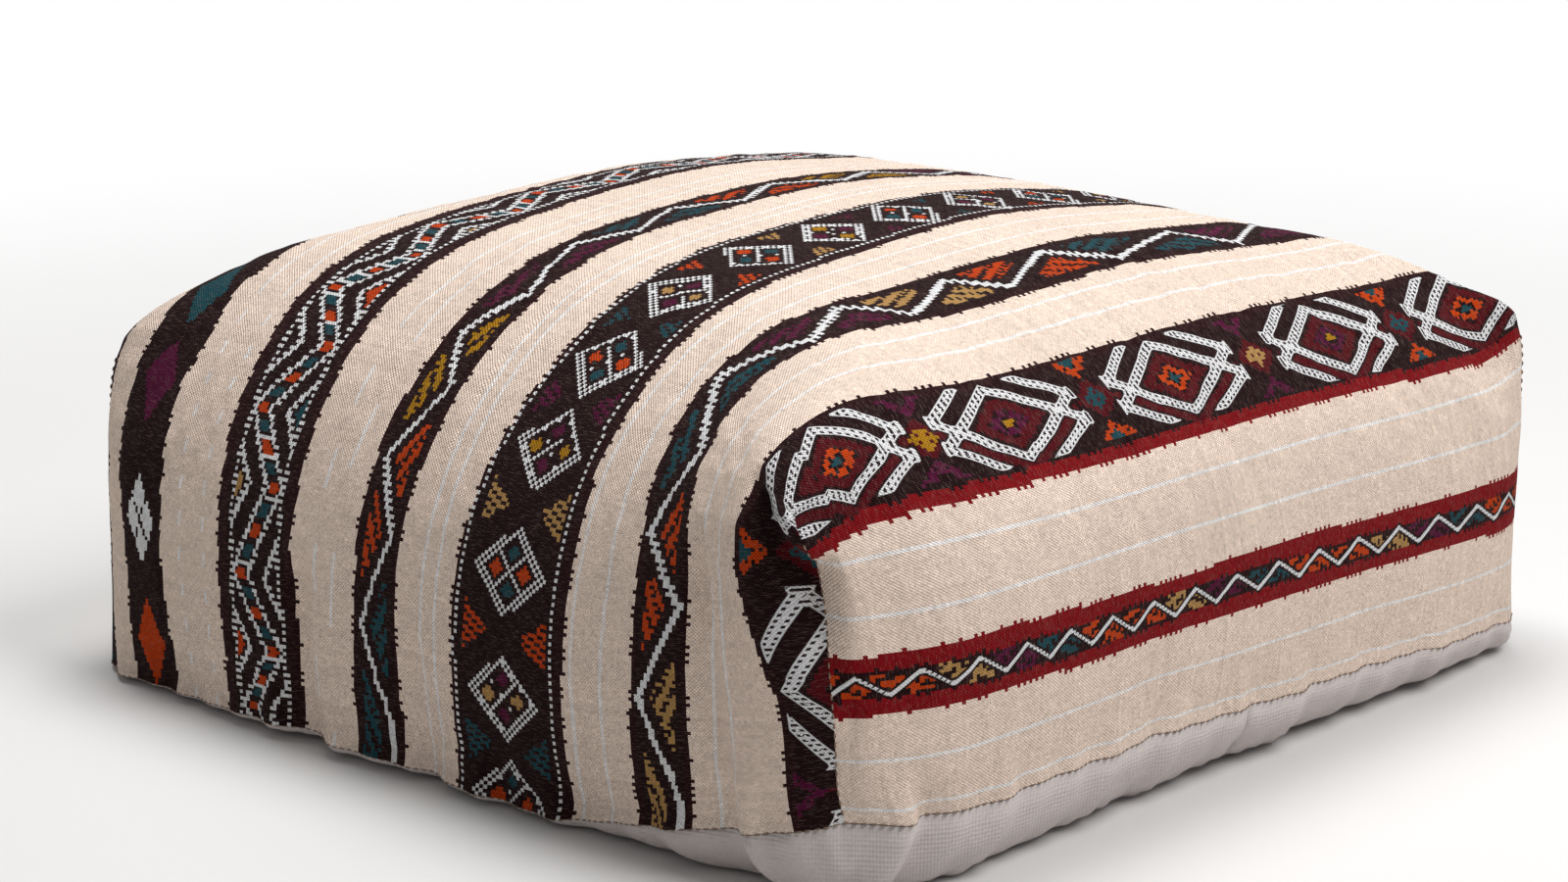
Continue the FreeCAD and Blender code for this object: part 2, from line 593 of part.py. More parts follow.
def make_pull():
    """Pull tab: two arms and a cross bar through the lug, a rounded tip and a finger hole."""
    body = make_body("zip_pull", x=SLIDER_MIDDLE, z=f"{TAPE_MIDDLE} - {SLIDER_HALF} - Dims.lug_radius")
    half_width = "Dims.pull_width / 2"
    half_gap = "Dims.arm_gap / 2"
    tip = "-(Dims.pull_length - Dims.pull_width / 2)"
    blade = make_sketch(body, "pull_blade", "XY_Plane")
    add_polygon(blade, [("0", f"-{half_width}"), ("0", f"-{half_gap}"), ("-Dims.arm_length", f"-{half_gap}"),
                        ("-Dims.arm_length", half_gap), ("0", half_gap), ("0", half_width),
                        (tip, half_width), (tip, f"-{half_width}")])
    extrude(body, "Pad", "pull_blade_pad", blade, "Dims.pull_thickness")
    round_tip = make_sketch(body, "pull_tip", "XY_Plane")
    add_circle(round_tip, (tip, "0"), half_width)
    extrude(body, "Pad", "pull_tip_pad", round_tip, "Dims.pull_thickness")

    hole_end = "-(Dims.pull_length - Dims.pull_rim - Dims.pull_hole_width / 2)"
    half_hole = "Dims.pull_hole_width / 2"
    hole_start = f"{hole_end} + Dims.pull_hole_length"
    slot = make_sketch(body, "pull_hole", "XY_Plane")
    add_polygon(slot, mirrored([(hole_end, f"-{half_hole}"), (hole_start, f"-{half_hole}")]))
    extrude(body, "Pocket", "pull_hole_pocket", slot, "2 * Dims.pull_thickness")
    for name, place in (("outer", hole_end), ("inner", hole_start)):
        end = make_sketch(body, f"pull_hole_{name}", "XY_Plane")
        add_circle(end, (place, "0"), half_hole)
        extrude(body, "Pocket", f"pull_hole_{name}_pocket", end, "2 * Dims.pull_thickness")

    bar = make_sketch(body, "cross_bar", "XZ_Plane")
    add_circle(bar, ("0", "0"), "Dims.bar_radius")
    extrude(body, "Pad", "cross_bar_pad", bar, "Dims.pull_width")


def write_parts():
    """Check the whole document, then write each sub-part's shape to its own file."""
    doc.recompute()
    for item in doc.Objects:
        if "Invalid" in item.State or "Error" in item.State:
            raise RuntimeError(f"{item.Name} failed: {item.State}")
    shapes = {}
    for name in SUB_PARTS:
        item = doc.getObject(name)
        item.Label = name
        shape = item.Shape
        if shape.isNull() or not shape.isValid() or not shape.Solids:
            raise RuntimeError(f"{name} has no valid solid")
        shapes[name] = shape
        print(f"{name}: {len(shape.Solids)} solids, {shape.Volume / 1000:.2f} cm3")
    os.makedirs("parts", exist_ok=True)
    for name, shape in shapes.items():
        shape.exportStep(f"parts/{name}.step")


make_sheet()
make_cover()
make_base()
make_insert()
make_tapes()
make_teeth()
make_stops()
make_zip_stitching()
make_slider()
make_pull()
write_parts()
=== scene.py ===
"""A square floor pouf: a banded kilim blanket sewn over a stuffed insert, on a canvas base with a zip."""
import math

import bpy
import numpy as np
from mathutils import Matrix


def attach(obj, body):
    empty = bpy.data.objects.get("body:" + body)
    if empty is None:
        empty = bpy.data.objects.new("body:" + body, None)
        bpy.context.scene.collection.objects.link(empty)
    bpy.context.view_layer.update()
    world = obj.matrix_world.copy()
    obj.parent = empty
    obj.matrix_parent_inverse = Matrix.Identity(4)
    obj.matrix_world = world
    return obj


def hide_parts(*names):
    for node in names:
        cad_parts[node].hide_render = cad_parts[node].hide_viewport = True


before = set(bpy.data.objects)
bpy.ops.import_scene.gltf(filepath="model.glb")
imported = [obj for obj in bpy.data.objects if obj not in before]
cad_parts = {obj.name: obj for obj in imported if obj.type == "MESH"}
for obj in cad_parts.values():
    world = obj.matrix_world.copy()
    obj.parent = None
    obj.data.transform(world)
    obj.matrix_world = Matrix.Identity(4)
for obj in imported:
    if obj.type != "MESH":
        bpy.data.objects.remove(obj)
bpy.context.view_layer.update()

# One mm in metres, and a factor that makes a direction level
MM = 0.001
LEVEL = np.array([1, 1, 0])

# The weave's cells: their size in mm, and the number of rows of them down each side.
CELL = 2.0
ROWS = 100

# Sizes of the stuffed form, in mm. The front is -Y, the right +X, the back +Y and the left -X.
HALF = 300.0
SHOULDER = {"front": 131.0, "right": 109.0, "back": 92.0, "left": 92.0}
EDGE_HEIGHT = {"front": 230.0, "right": 226.0, "back": 212.0, "left": 212.0}
CROWN = 44.0
CROWN_MIDDLE = (2.0, 35.0)
CROWN_POWER = {"front": 2.04, "right": 1.95, "back": 1.35, "left": 2.57}
PLAN_CORNER = {"front": (70.0, 86.0), "right": (86.0, 80.0), "back": (86.0, 80.0), "left": (70.0, 86.0)}
BULGE = {"front": 3.0, "right": 5.0, "back": 7.0, "left": 7.0}
BULGE_POWER = 2.5
CORNER_BLEND = 90.0

# At these shares of the way along each side, the height of the base seam and how far the foot flares out.
QUARTERS = (-1, -0.33, 0.33, 1)
SEAM_HEIGHT = {
    "front": (3.0, 9.0, 5.0, 42.0),
    "right": (42.0, 42.0, 34.0, 21.0),
    "back": (20.0, 24.0, 24.0, 21.0),
    "left": (3.0, 14.0, 20.0, 20.0),
}
FLARE = {
    "front": (4.0, 7.0, 0.0, -2.0),
    "right": (1.0, 3.0, 3.0, 1.0),
    "back": (0.0, 0.0, 0.0, 0.0),
    "left": (0.0, 0.0, 0.0, 4.0),
}
FLARE_START = 0.45

# Where the cloth folds from the top to each side, the sides at either end of each, and the way out of it.
FOLD = {side: CELL * round((HALF - (1 - math.pi / 4) * SHOULDER[side]) / CELL) for side in SHOULDER}
ENDS = {side: ("left", "right") if side in ("front", "back") else ("front", "back") for side in FOLD}
OUTWARD = {"front": (0, -1, 0), "right": (1, 0, 0), "back": (0, 1, 0), "left": (-1, 0, 0)}

# Corners where the cloth stands out in ears, the near one over the top of its seam: how far each shifts the
# cloth, its spread along X and Y, and its fall down either side.
EARS = {
    ("right", "front"): ((-8.0, -40.0, 19.0), (115.0, 104.0), {"right": 37.0, "front": 48.0}),
    ("right", "back"): ((3.0, 5.0, 15.0), (27.0, 27.0), {"right": 48.0, "back": 48.0}),
    ("left", "front"): ((-4.0, -2.5, 11.0), (46.0, 46.0), {"left": 60.0, "front": 60.0}),
}
# A bulge in the front beside the near ear: its shift, place along and down, spread, and where it sets in.
EAR_BULGE = np.array([-11.0, -17.5, 0.0])
EAR_BULGE_PLACE = (246.0, 46.0)
EAR_BULGE_SPREAD = (34.0, 44.0)
EAR_BULGE_START = 25.0
# The near corner's seam lies a little round to the front: how far, how wide, and from where to where.
SEAM_LEAN, LEAN_WIDTH = 11.0, 55.0
LEAN_START, LEAN_DROP, LEAN_END = 50.0, 140.0, 55.0

# Dips where the corner seams draw the cloth in: depth, width and where they set in; and the width over which
# two sides are eased together.
SEAM_DIP, SEAM_WIDTH, SEAM_START = 2.5, 8.0, 20.0
CORNER_EASE = 70.0

# The near ear's lobe: its lip hangs lowest at the seam and slopes up to the left, with a deep tuck under it.
LIP_DROP, LIP_SLOPE = 40.0, 1.5
LOBE_START, LOBE_WIDTH, LOBE_FADE = 8.0, 14.0, 26.0
LOBE_OUT, LOBE_RISE = 6.0, 9.0
LOBE_TUCK, TUCK_EDGE, TUCK_FALL = 17.0, 6.0, 28.0
LOBE_WIDTH_RIGHT = 8.0

# Soft creases down the sides: place along the side, width, depth, and the share of the way down where each
# starts. Gathers grow towards the base seam: sines with these wave lengths over two pi, and phases.
CREASES = {
    "front": (
        (-195, 18, 4.0, 0.4), (-88, 13, 6.5, 0.35), (-70, 10, -3.0, 0.4), (-2, 15, 4.5, 0.5),
        (118, 16, 4.0, 0.45), (204, 15, 6.5, 0.1), (222, 10, -3.0, 0.2),
    ),
    "right": (
        (-250, 8, -9.0, 0.8), (-234, 7, 6.0, 0.78), (-60, 30, 2.5, 0.5), (110, 26, 3.0, 0.55),
        (225, 14, 3.5, 0.4),
    ),
    "back": ((-180, 18, 4.0, 0.4), (-40, 24, 3.0, 0.5), (90, 16, 4.0, 0.45), (215, 14, 4.0, 0.4)),
    "left": ((-200, 16, 4.0, 0.4), (-70, 22, 3.0, 0.5), (60, 18, 4.0, 0.45), (190, 20, 3.0, 0.4)),
}
CREASE_SLANT, CREASE_GROWTH = 12.0, 0.3
GATHER, GATHER_START = 1.1, 0.72
GATHER_WAVES = ((7.3, 0), (4.1, 1), (11.7, 2))


def smooth(t):
    """A ramp from 0 to 1 with level ends: 3 t squared less 2 t cubed."""
    t = np.clip(t, 0, 1)
    return t * t * (3 - 2 * t)


def bell(t):
    """A bell of height 1: e to the power of minus t squared."""
    return np.exp(-(t * t))


def shoulder(past, radius):
    """How far in and down a quarter round of the radius lies, past being the way beyond its middle."""
    turn = np.clip(past / radius + math.pi / 4, 0, math.pi / 2)
    before = np.maximum(-math.pi * radius / 4 - past, 0)
    after = np.maximum(past - math.pi * radius / 4, 0)
    return radius * (1 - np.sin(turn)) + before, radius * (1 - np.cos(turn)) + after


def along_axis(p, low, high):
    """Place and drop on one axis for cloth coordinate p, with a shoulder at either end."""
    inset_high, drop_high = shoulder(p - FOLD[high], SHOULDER[high])
    inset_low, drop_low = shoulder(-p - FOLD[low], SHOULDER[low])
    place = np.where(p >= 0, HALF - inset_high, inset_low - HALF)
    return place, np.where(p >= 0, drop_high, drop_low)


def axis_crown(place, middle, low, high):
    """On one axis, the blend of its two edges' heights, and the crown's share, which falls off from its
    middle with a power of the way to each edge."""
    beyond = place > middle
    way = np.where(beyond, (place - middle) / (HALF - middle), (middle - place) / (HALF + middle))
    share = (place / HALF + 1) / 2
    height = EDGE_HEIGHT[low] * (1 - share) + EDGE_HEIGHT[high] * share
    return height, 1 - np.clip(way, 0, 1) ** np.where(beyond, CROWN_POWER[high], CROWN_POWER[low])


def crown_height(x, y):
    """Height of the stuffed top before its shoulders: that of its edges, plus the crown."""
    height_x, crown_x = axis_crown(x, CROWN_MIDDLE[0], "left", "right")
    height_y, crown_y = axis_crown(y, CROWN_MIDDLE[1], "front", "back")
    return (height_x + height_y) / 2 + CROWN * crown_x * crown_y


def ears(u, v, side="top", q=0.0):
    """Shift of the cloth by the ears: for each, bells of the ways from its corner, along and down."""
    shifts = np.zeros(u.shape + (3,))
    for (end_x, end_y), (shift, spread, falls) in EARS.items():
        if side in ("top", end_x, end_y):
            way_x = FOLD[end_x] - OUTWARD[end_x][0] * u
            way_y = FOLD[end_y] - OUTWARD[end_y][1] * v
            fade = bell(way_x / spread[0]) * bell(way_y / spread[1]) * bell(q / falls.get(side, 1.0))
            shifts += fade[..., None] * np.array(shift)
    return shifts


def ear_lobe(way, q):
    """How far out the near ear's cloth stands, way mm along the front from its seam and q mm below the fold.

    Above the sloping lip a bell swells the lobe; below it the cloth is tucked in at once and comes
    back out by a bell.
    """
    lip = (q - LIP_DROP + LIP_SLOPE * way) / math.hypot(1, LIP_SLOPE)
    near = smooth(q / LOBE_START) * (1 - smooth((way - LOBE_WIDTH) / LOBE_FADE))
    tuck = LOBE_TUCK * smooth(0.5 + lip / TUCK_EDGE) * bell(np.maximum(lip, 0) / TUCK_FALL)
    return near * (LOBE_OUT * bell((lip + LOBE_RISE) / LOBE_RISE) - tuck)


def top_points(u, v):
    """The top and the upper half of its shoulders: both axes' shoulders drop from the crown."""
    x, drop_x = along_axis(u, "left", "right")
    y, drop_y = along_axis(v, "front", "back")
    return np.stack([x, y, crown_height(x, y) - np.hypot(drop_x, drop_y)], -1) + ears(u, v)


def creases(side, p, down):
    """How far a side's cloth sinks in: a bell across each crease, and gathers that grow to the seam."""
    depth = np.zeros_like(p)
    for place, width, deep, start in CREASES[side]:
        across = (p - place - CREASE_SLANT * (down - 1)) / width
        depth += deep * bell(across) * smooth((down - start) / CREASE_GROWTH)
    waves = sum(np.sin(p / length + phase) for length, phase in GATHER_WAVES)
    return depth + GATHER * waves * smooth((down - GATHER_START) / (1 - GATHER_START)) ** 2


def skirt_points(side, p, down):
    """One side, p along it and down from 0 at the fold to 1 at the base seam.

    The side leaves the top's outline and turns over CORNER_BLEND into a square ring with round
    corners, while it goes round the shoulder, bulges and flares out a little at its foot.
    """
    low, high = ENDS[side]
    on_top, drop_end = along_axis(p, low, high)
    end = np.where(p >= 0, FOLD[high], FOLD[low])
    share = p / end
    radius = SHOULDER[side]
    sign = -1 if side in ("front", "left") else 1
    fold_out = np.full_like(p, sign * (HALF - shoulder(np.zeros(1), radius)[0][0]))
    level = side in ("front", "back")
    edge = crown_height(on_top, fold_out) if level else crown_height(fold_out, on_top)
    length = edge - radius - np.interp(share, QUARTERS, SEAM_HEIGHT[side]) + math.pi * radius / 4
    q = down * length
    inset, drop = shoulder(q, radius)
    turn = smooth(q / CORNER_BLEND)
    round_corner = np.where(p >= 0, PLAN_CORNER[side][1], PLAN_CORNER[side][0])
    arc = (end - abs(p)) * (HALF - (1 - math.pi / 4) * round_corner) / end
    lean = SEAM_LEAN * smooth(q / LEAN_START) * (1 - smooth((q - LEAN_DROP) / LEAN_END))
    lean = lean * bell(arc / LEAN_WIDTH)
    if side == "front":
        arc = arc + np.where(p > 0, lean, 0)
    if side == "right":
        arc = arc - np.where(p < 0, lean, 0)
    angle = np.clip(math.pi / 4 - arc / round_corner, 0, math.pi / 2)
    straight = np.maximum(arc - round_corner * math.pi / 4, 0)
    on_ring = np.sign(p) * (HALF - round_corner - straight + round_corner * np.sin(angle))
    back = round_corner * (1 - np.cos(angle))
    swell = BULGE[side] * np.sin(math.pi * down) * (1 - abs(share) ** BULGE_POWER)
    swell = swell + np.interp(share, QUARTERS, FLARE[side]) * smooth((down - FLARE_START) / (1 - FLARE_START))
    along = (1 - turn) * on_top + turn * on_ring
    out = HALF - inset - turn * back + swell - creases(side, p, down)
    z = edge - np.hypot(drop, (1 - turn) * drop_end)
    points = np.stack([along, sign * out, z] if level else [sign * out, along, z], -1)
    points = points + ears(*cloth_coordinates(side, p, np.zeros_like(p)), side, q)
    if side == "front":
        across = (p - EAR_BULGE_PLACE[0]) / EAR_BULGE_SPREAD[0]
        below = (q - EAR_BULGE_PLACE[1]) / EAR_BULGE_SPREAD[1]
        points = points + (bell(across) * bell(below) * smooth(q / EAR_BULGE_START))[..., None] * EAR_BULGE
    return points


# The dyes of the yarns
DYES = {
    "cream": "#EAD5C5",
    "stripe": "#EEE9E6",
    "white": "#DEDEDF",
    "hole": "#2A1E20",
    "dark": "#1E0B0E",
    "brown": "#250C10",
    "maroon": "#4E0A13",
    "red": "#7C0C14",
    "orange": "#B63C0C",
    "teal": "#18434B",
    "magenta": "#4E0E31",
    "tan": "#A8824E",
    "mustard": "#A07212",
}
DYE = {name: number for number, name in enumerate(DYES)}

# The bands' left and right edges across the cloth, in mm, at these places along it.
ALONG = (-400, -320, -230, -110, 0, 290)
BANDS = {
    "outer_zigzag": ((-322,) * 6, (-280,) * 6),
    "lone_diamonds": ((-255, -255, -256, -253, -251, -251), (-219, -219, -220, -215, -212, -212)),
    "square_chain": ((-171, -171, -172, -168, -173, -184), (-106, -106, -105, -108, -113, -131)),
    "narrow_zigzag": ((-49, -49, -48, -52, -50, -47), (-15, -15, -14, -19, -17, -14)),
    "split_diamonds": ((26, 28, 34, 29, 34, 38), (103, 103, 101, 96, 92, 92)),
    "wide_zigzag": ((149, 148, 141, 145, 146, 146), (184, 183, 178, 187, 187, 186)),
    "hook_diamonds": ((250, 237, 238, 238, 238, 236), (326, 316, 297, 292, 291, 296)),
    "red_stripe": ((320, 310, 291, 286, 285, 290), (334, 324, 305, 300, 299, 304)),
    "red_border": ((376, 376, 372, 376, 377, 379), (411, 411, 407, 411, 409, 412)),
    "small_zigzag": ((386, 386, 382, 386, 387, 389), (402, 402, 398, 402, 400, 403)),
}
# Places along the cloth, in mm: where zigzags turn, the first to the right, and the diamonds' middles.
TURNS = {
    "outer_zigzag": tuple(range(-490, 520, 40)),
    "square_chain": (-500, -466, -431, -391, -341, -299, -259, -222, -186, -147, -108, -69, -30)
    + tuple(range(9, 520, 39)),
    "narrow_zigzag": (-449, -399, -349, -309, -266, -236, -201, -146, -114, -71, -34)
    + tuple(range(6, 520, 40)),
    "wide_zigzag": (-459, -399, -349, -314, -266, -225, -186, -150, -124, -76, -52, 2, 38, 111, 141)
    + tuple(range(190, 520, 40)),
    "small_zigzag": tuple(-275 + 13 * k + 0.115 * k * k for k in range(34)),
}
MIDDLES = {
    "lone_diamonds": (-447, -377, -299, -237) + tuple(range(-170, 520, 67)),
    "split_diamonds": (-470, -414, -349, -284, -232, -174, -114, -57, 0) + tuple(range(60, 520, 60)),
    "hook_diamonds": (-514, -388, -236, -140, -17, 120, 248, 375, 500),
}
# Places across the cloth, in mm, of its thin white stripes
STRIPES = (-350, -372, -203, -184, -84, -68, 2, 13, 109, 127, 198, 216, 321, 350, 435, 466)

# The zigzag bands: how far the line swings, its width, the margin round its patches, their yarns and its own.
ZIGZAGS = {
    "outer_zigzag": (13.0, 4.0, 7.0, ("teal", "orange", "magenta", "tan"), "white"),
    "narrow_zigzag": (9.5, 2.6, 6.0, ("teal", "orange", "mustard", "magenta"), "white"),
    "wide_zigzag": (12.5, 3.6, 7.0, ("tan", "orange", "teal", "magenta"), "white"),
    "small_zigzag": (6.2, 1.0, 1.0, ("orange", "orange", "tan", "magenta", "teal"), "dark"),
}
# How far the bands' edges wander, the wave lengths of that over two pi, and the reach of their teeth in cells
WANDER, WANDER_LENGTHS, TOOTH = 0.8, (37, 43), 0.75
# Chance, for the bands' toothed edges and the gaps in brocaded patches
TEETH = np.random.default_rng(5).random(512) < 0.45


def cell(way):
    """The number of the weave cell at a way along or across the cloth, in mm."""
    return np.floor(way / CELL).astype(int)


def swing(v, turns):
    """A zigzag with straight arms that is 1 and -1 by turns."""
    return np.interp(v, turns, np.resize((1.0, -1.0), len(turns)))


def nearest(v, places):
    """The number of the nearest of some places that are given in order, and the way from it."""
    places = np.array(places)
    number = np.searchsorted((places[1:] + places[:-1]) / 2, v)
    return number, v - places[number]


def by_turn(number, yarns):
    """The dye for each number of a repeat, from a list of yarns taken in order."""
    return np.array([DYE[name] for name in yarns])[number % len(yarns)]


def paint(dye, where, colour):
    """Sets the dye of the cells where, to one yarn by name or to a dye for each cell."""
    dye[where] = DYE[colour] if isinstance(colour, str) else colour[where]


def weave_band(dye, u, v, name):
    """A dark or red band whose edges wander and, by chance, have teeth at every other row.

    Returns the distance of each cell from the band's middle line, half the band's width, and where it lies.
    """
    left, right = (np.interp(v, ALONG, edge) for edge in BANDS[name])
    left = left + WANDER * np.sin(v / WANDER_LENGTHS[0] + len(name))
    right = right + WANDER * np.sin(v / WANDER_LENGTHS[1] + 2 * len(name))
    row = cell(v)
    tooth = TOOTH * CELL * (row % 2) * TEETH[(row + 7 * len(name)) % len(TEETH)]
    inside = (u > CELL * np.round(left / CELL) - tooth) & (u < CELL * np.round(right / CELL) + tooth)
    paint(dye, inside, "red" if name.startswith("red") else "dark")
    return u - (left + right) / 2, (right - left) / 2, inside


def weave_zigzag(dye, u, v, name):
    """A dark band with one zigzag line and a brocaded patch in each triangle beside it.

    The zigzag joins its turns by straight arms; the short arms are a comb of stitches. A patch fills what
    lies more than the margin from the zigzag and from the band's edge, less slanted lines between its floats.
    """
    w, half, inside = weave_band(dye, u, v, name)
    reach, line, margin, yarns, thread = ZIGZAGS[name]
    turns = np.array(TURNS[name])
    number, _ = nearest(v, turns)
    to_right = np.where(number % 2 == 0, 1, -1)
    gap = w - reach * swing(v, turns)
    row = cell(v) % 2
    arms = np.diff(turns)
    short = (arms < arms.mean())[np.clip(np.searchsorted(turns, v) - 1, 0, len(arms) - 1)]
    comb = np.where(row == 0, 1.1 * line, 0.4 * line)
    paint(dye, inside & (abs(w) > half - 3), "brown")
    patch = inside & (-to_right * gap > line / 2 + margin) & (abs(w) < half - margin)
    floats = np.floor(u / CELL + to_right * cell(v) * 0.5) % 4 < 2
    paint(dye, patch & (floats | (row == 0)), by_turn(number // 2, yarns))
    paint(dye, patch & ~floats & TEETH[cell(u + 3 * v) % len(TEETH)], "dark")
    paint(dye, inside & (abs(gap) < np.where(short, comb, 0.45 * line + 0.5 * row)), thread)


# The split diamonds: half their length and width, and how far they lie left of the band's middle line.
SPLIT_LONG, SPLIT_WIDE, SPLIT_ASIDE = 20.0, 21.0, 2.0


def weave_split_diamonds(dye, u, v, name):
    """A dark band of diamonds, each ringed in white with a comb of short ticks and split in four by a cross.

    With a and b the two slanted coordinates of a diamond, its outline is where the larger of the two
    is one, its cross where the smaller is nearly nought, and a quarter's core where both are near a half.
    """
    w, half, inside = weave_band(dye, u, v, name)
    number, s = nearest(v, MIDDLES[name])
    w = w + SPLIT_ASIDE
    paint(dye, inside & (abs(w) > half - 4), "brown")
    a = s / SPLIT_LONG + w / SPLIT_WIDE
    b = s / SPLIT_LONG - w / SPLIT_WIDE
    outer = np.maximum(abs(a), abs(b))
    inner = np.minimum(abs(a), abs(b))
    middles = np.array(MIDDLES[name])
    between, beside = nearest(v, (middles[1:] + middles[:-1]) / 2)
    corner = (abs(beside) < 0.75 * (abs(w) - 11)) & (abs(w) < half - 10)
    floats = (cell(u) + 2 * cell(v)) % 5 > 1
    paint(dye, inside & corner & floats, by_turn(between, ("teal", "orange", "tan", "magenta")))
    core = (outer < 0.7) & (inner > 0.26)
    sides = by_turn(number, ("orange", "tan", "orange", "mustard"))
    ends = by_turn(number, ("teal", "magenta"))
    paint(dye, inside & core, np.where(a * b < 0, sides, ends))
    check = (cell(u) + cell(v)) % 2 == 0
    outline = (abs(outer - 0.98) < 0.05) | ((inner < 0.05) & (outer < 1))
    tick = check & (outer > 0.86) & (outer < 1.2)
    outline &= check | (cell(v) % 3 == 0)
    dots = (abs(w - half + 6) < 1) | (abs(w + half - 4) < 1)
    dots &= cell(v) % 2 == 0
    paint(dye, inside & (outline | tick | dots), "white")


# The chain of squares: its border lines' and turns' ways in, the slant of its arms, its rails' distance,
# and that of the V beside it.
CHAIN_BORDER, CHAIN_TURN, CHAIN_SLANT, CHAIN_RAIL, CHAIN_V = 11.5, 7.5, 1.22, 4.9, 21.0


def weave_square_chain(dye, u, v, name):
    """A dark band with a zigzag chain of orange and teal squares between two ticked white rails.

    The chain's middle is a zigzag and holds four squares from turn to turn. Rails lie at a set distance
    either side of it, and a ticked V stands in each triangle beside it against a dotted border line.
    """
    w, half, inside = weave_band(dye, u, v, name)
    turns = np.array(TURNS[name])
    border = half - CHAIN_BORDER
    beyond = abs(w - (border - CHAIN_TURN) * swing(v, turns))
    across = beyond / CHAIN_SLANT
    number, place = nearest(4 * np.interp(v, turns, np.arange(len(turns))), np.arange(4 * len(turns)))
    row = cell(v) % 2
    within = inside & (abs(w) < border)
    paint(dye, inside & (abs(w) > border + 4), "brown")
    paint(dye, within & (across < 3.0) & (abs(place) < 0.3), by_turn(number, ("orange", "teal")))
    rail = abs(across - CHAIN_RAIL) < 0.75
    rail_tick = (across > CHAIN_RAIL) & (across < CHAIN_RAIL + 2.5) & (row == 0)
    rung = (across < 4) & (abs(place) > 0.44)
    side_v = abs(beyond - CHAIN_V) < 1.2
    side_tick = (beyond > CHAIN_V) & (beyond < CHAIN_V + 4) & (row == 0)
    patch = (beyond > CHAIN_V + 6) & (abs(w) < border - 2)
    turn_number, _ = nearest(v, turns)
    paint(dye, within & patch, by_turn(turn_number, ("teal", "dark", "orange", "dark", "tan")))
    dots = (abs(abs(w) - border) < 1.5) & (row == 0)
    paint(dye, (within & (rail | rail_tick | rung | side_v | side_tick)) | (inside & dots), "white")


# The strips' depths lie between minus and plus STRIP_RANGE mm; below NO_HOLES a strip has no holes.
STRIP_RANGE, NO_HOLES = 9.0, 0.7
# The small zigzag's white line: its depth at the middle before that is held, and its fall across the line.
SMALL_LINE, SMALL_SLOPE = 1.1, 0.7

# The large diamonds with hooks: half height across the band, way along to a crossing's end, half a strip's
# width and its slope, in a band of this half width with a diamond at every spacing; hooks end at HOOK_EDGE.
HOOK_HEIGHT, HOOK_REACH, HOOK_STRIP, HOOK_LEAN = 20.5, 48.0, 3.2, 0.58
HOOK_BAND, HOOK_SPACING, HOOK_EDGE = 27.0, 128.0, 24.5


def hook_place(w, half, v):
    """Numbers of the hook band's nearest diamond and gap, and the ways along and across from their middles.

    The ways are scaled to a band of half width HOOK_BAND with diamonds HOOK_SPACING apart.
    """
    middles = np.array(MIDDLES["hook_diamonds"])
    number, s = nearest(v, middles)
    between, beside = nearest(v, (middles[1:] + middles[:-1]) / 2)
    spacing = np.diff(middles)[np.clip(between, 0, len(middles) - 2)]
    along = abs(s) * (HOOK_SPACING / spacing) ** 0.75
    return number, between, along, abs(beside), abs(w) * HOOK_BAND / half


def from_middle(u, v, name):
    """The way of a place from a band's middle line, and half the band's width there."""
    left, right = (np.interp(v, ALONG, edge) for edge in BANDS[name])
    return u - (left + right) / 2, (right - left) / 2


def zigzag_strip(u, v):
    """How far inside the small zigzag's white line a place lies, in mm, below nought outside it."""
    w, _ = from_middle(u, v, "small_zigzag")
    gap = w - ZIGZAGS["small_zigzag"][0] * swing(v, TURNS["small_zigzag"])
    return np.clip(SMALL_LINE - SMALL_SLOPE * abs(gap), -STRIP_RANGE, NO_HOLES)


def hook_strips(u, v):
    """How far inside the hook band's white strips a place lies, in mm, below nought outside them.

    A diamond's sides are where the way across is the distance of HOOK_LEAN times the way along from the half
    height, out to the crossing's end, and the hooks run back beside them.
    """
    w, half = from_middle(u, v, "hook_diamonds")
    _, _, along, _, out = hook_place(w, half, v)
    ring = HOOK_STRIP - abs(out - abs(HOOK_HEIGHT - HOOK_LEAN * along))
    hook = HOOK_STRIP - abs(out - HOOK_LEAN * (2 * HOOK_REACH - along) + HOOK_HEIGHT)
    strip = np.maximum(ring, np.minimum(hook, HOOK_EDGE - out))
    strip = np.minimum(strip, HOOK_REACH + 3 - along)
    return np.clip(0.9 * np.minimum(strip, HOOK_BAND - out), -STRIP_RANGE, STRIP_RANGE)


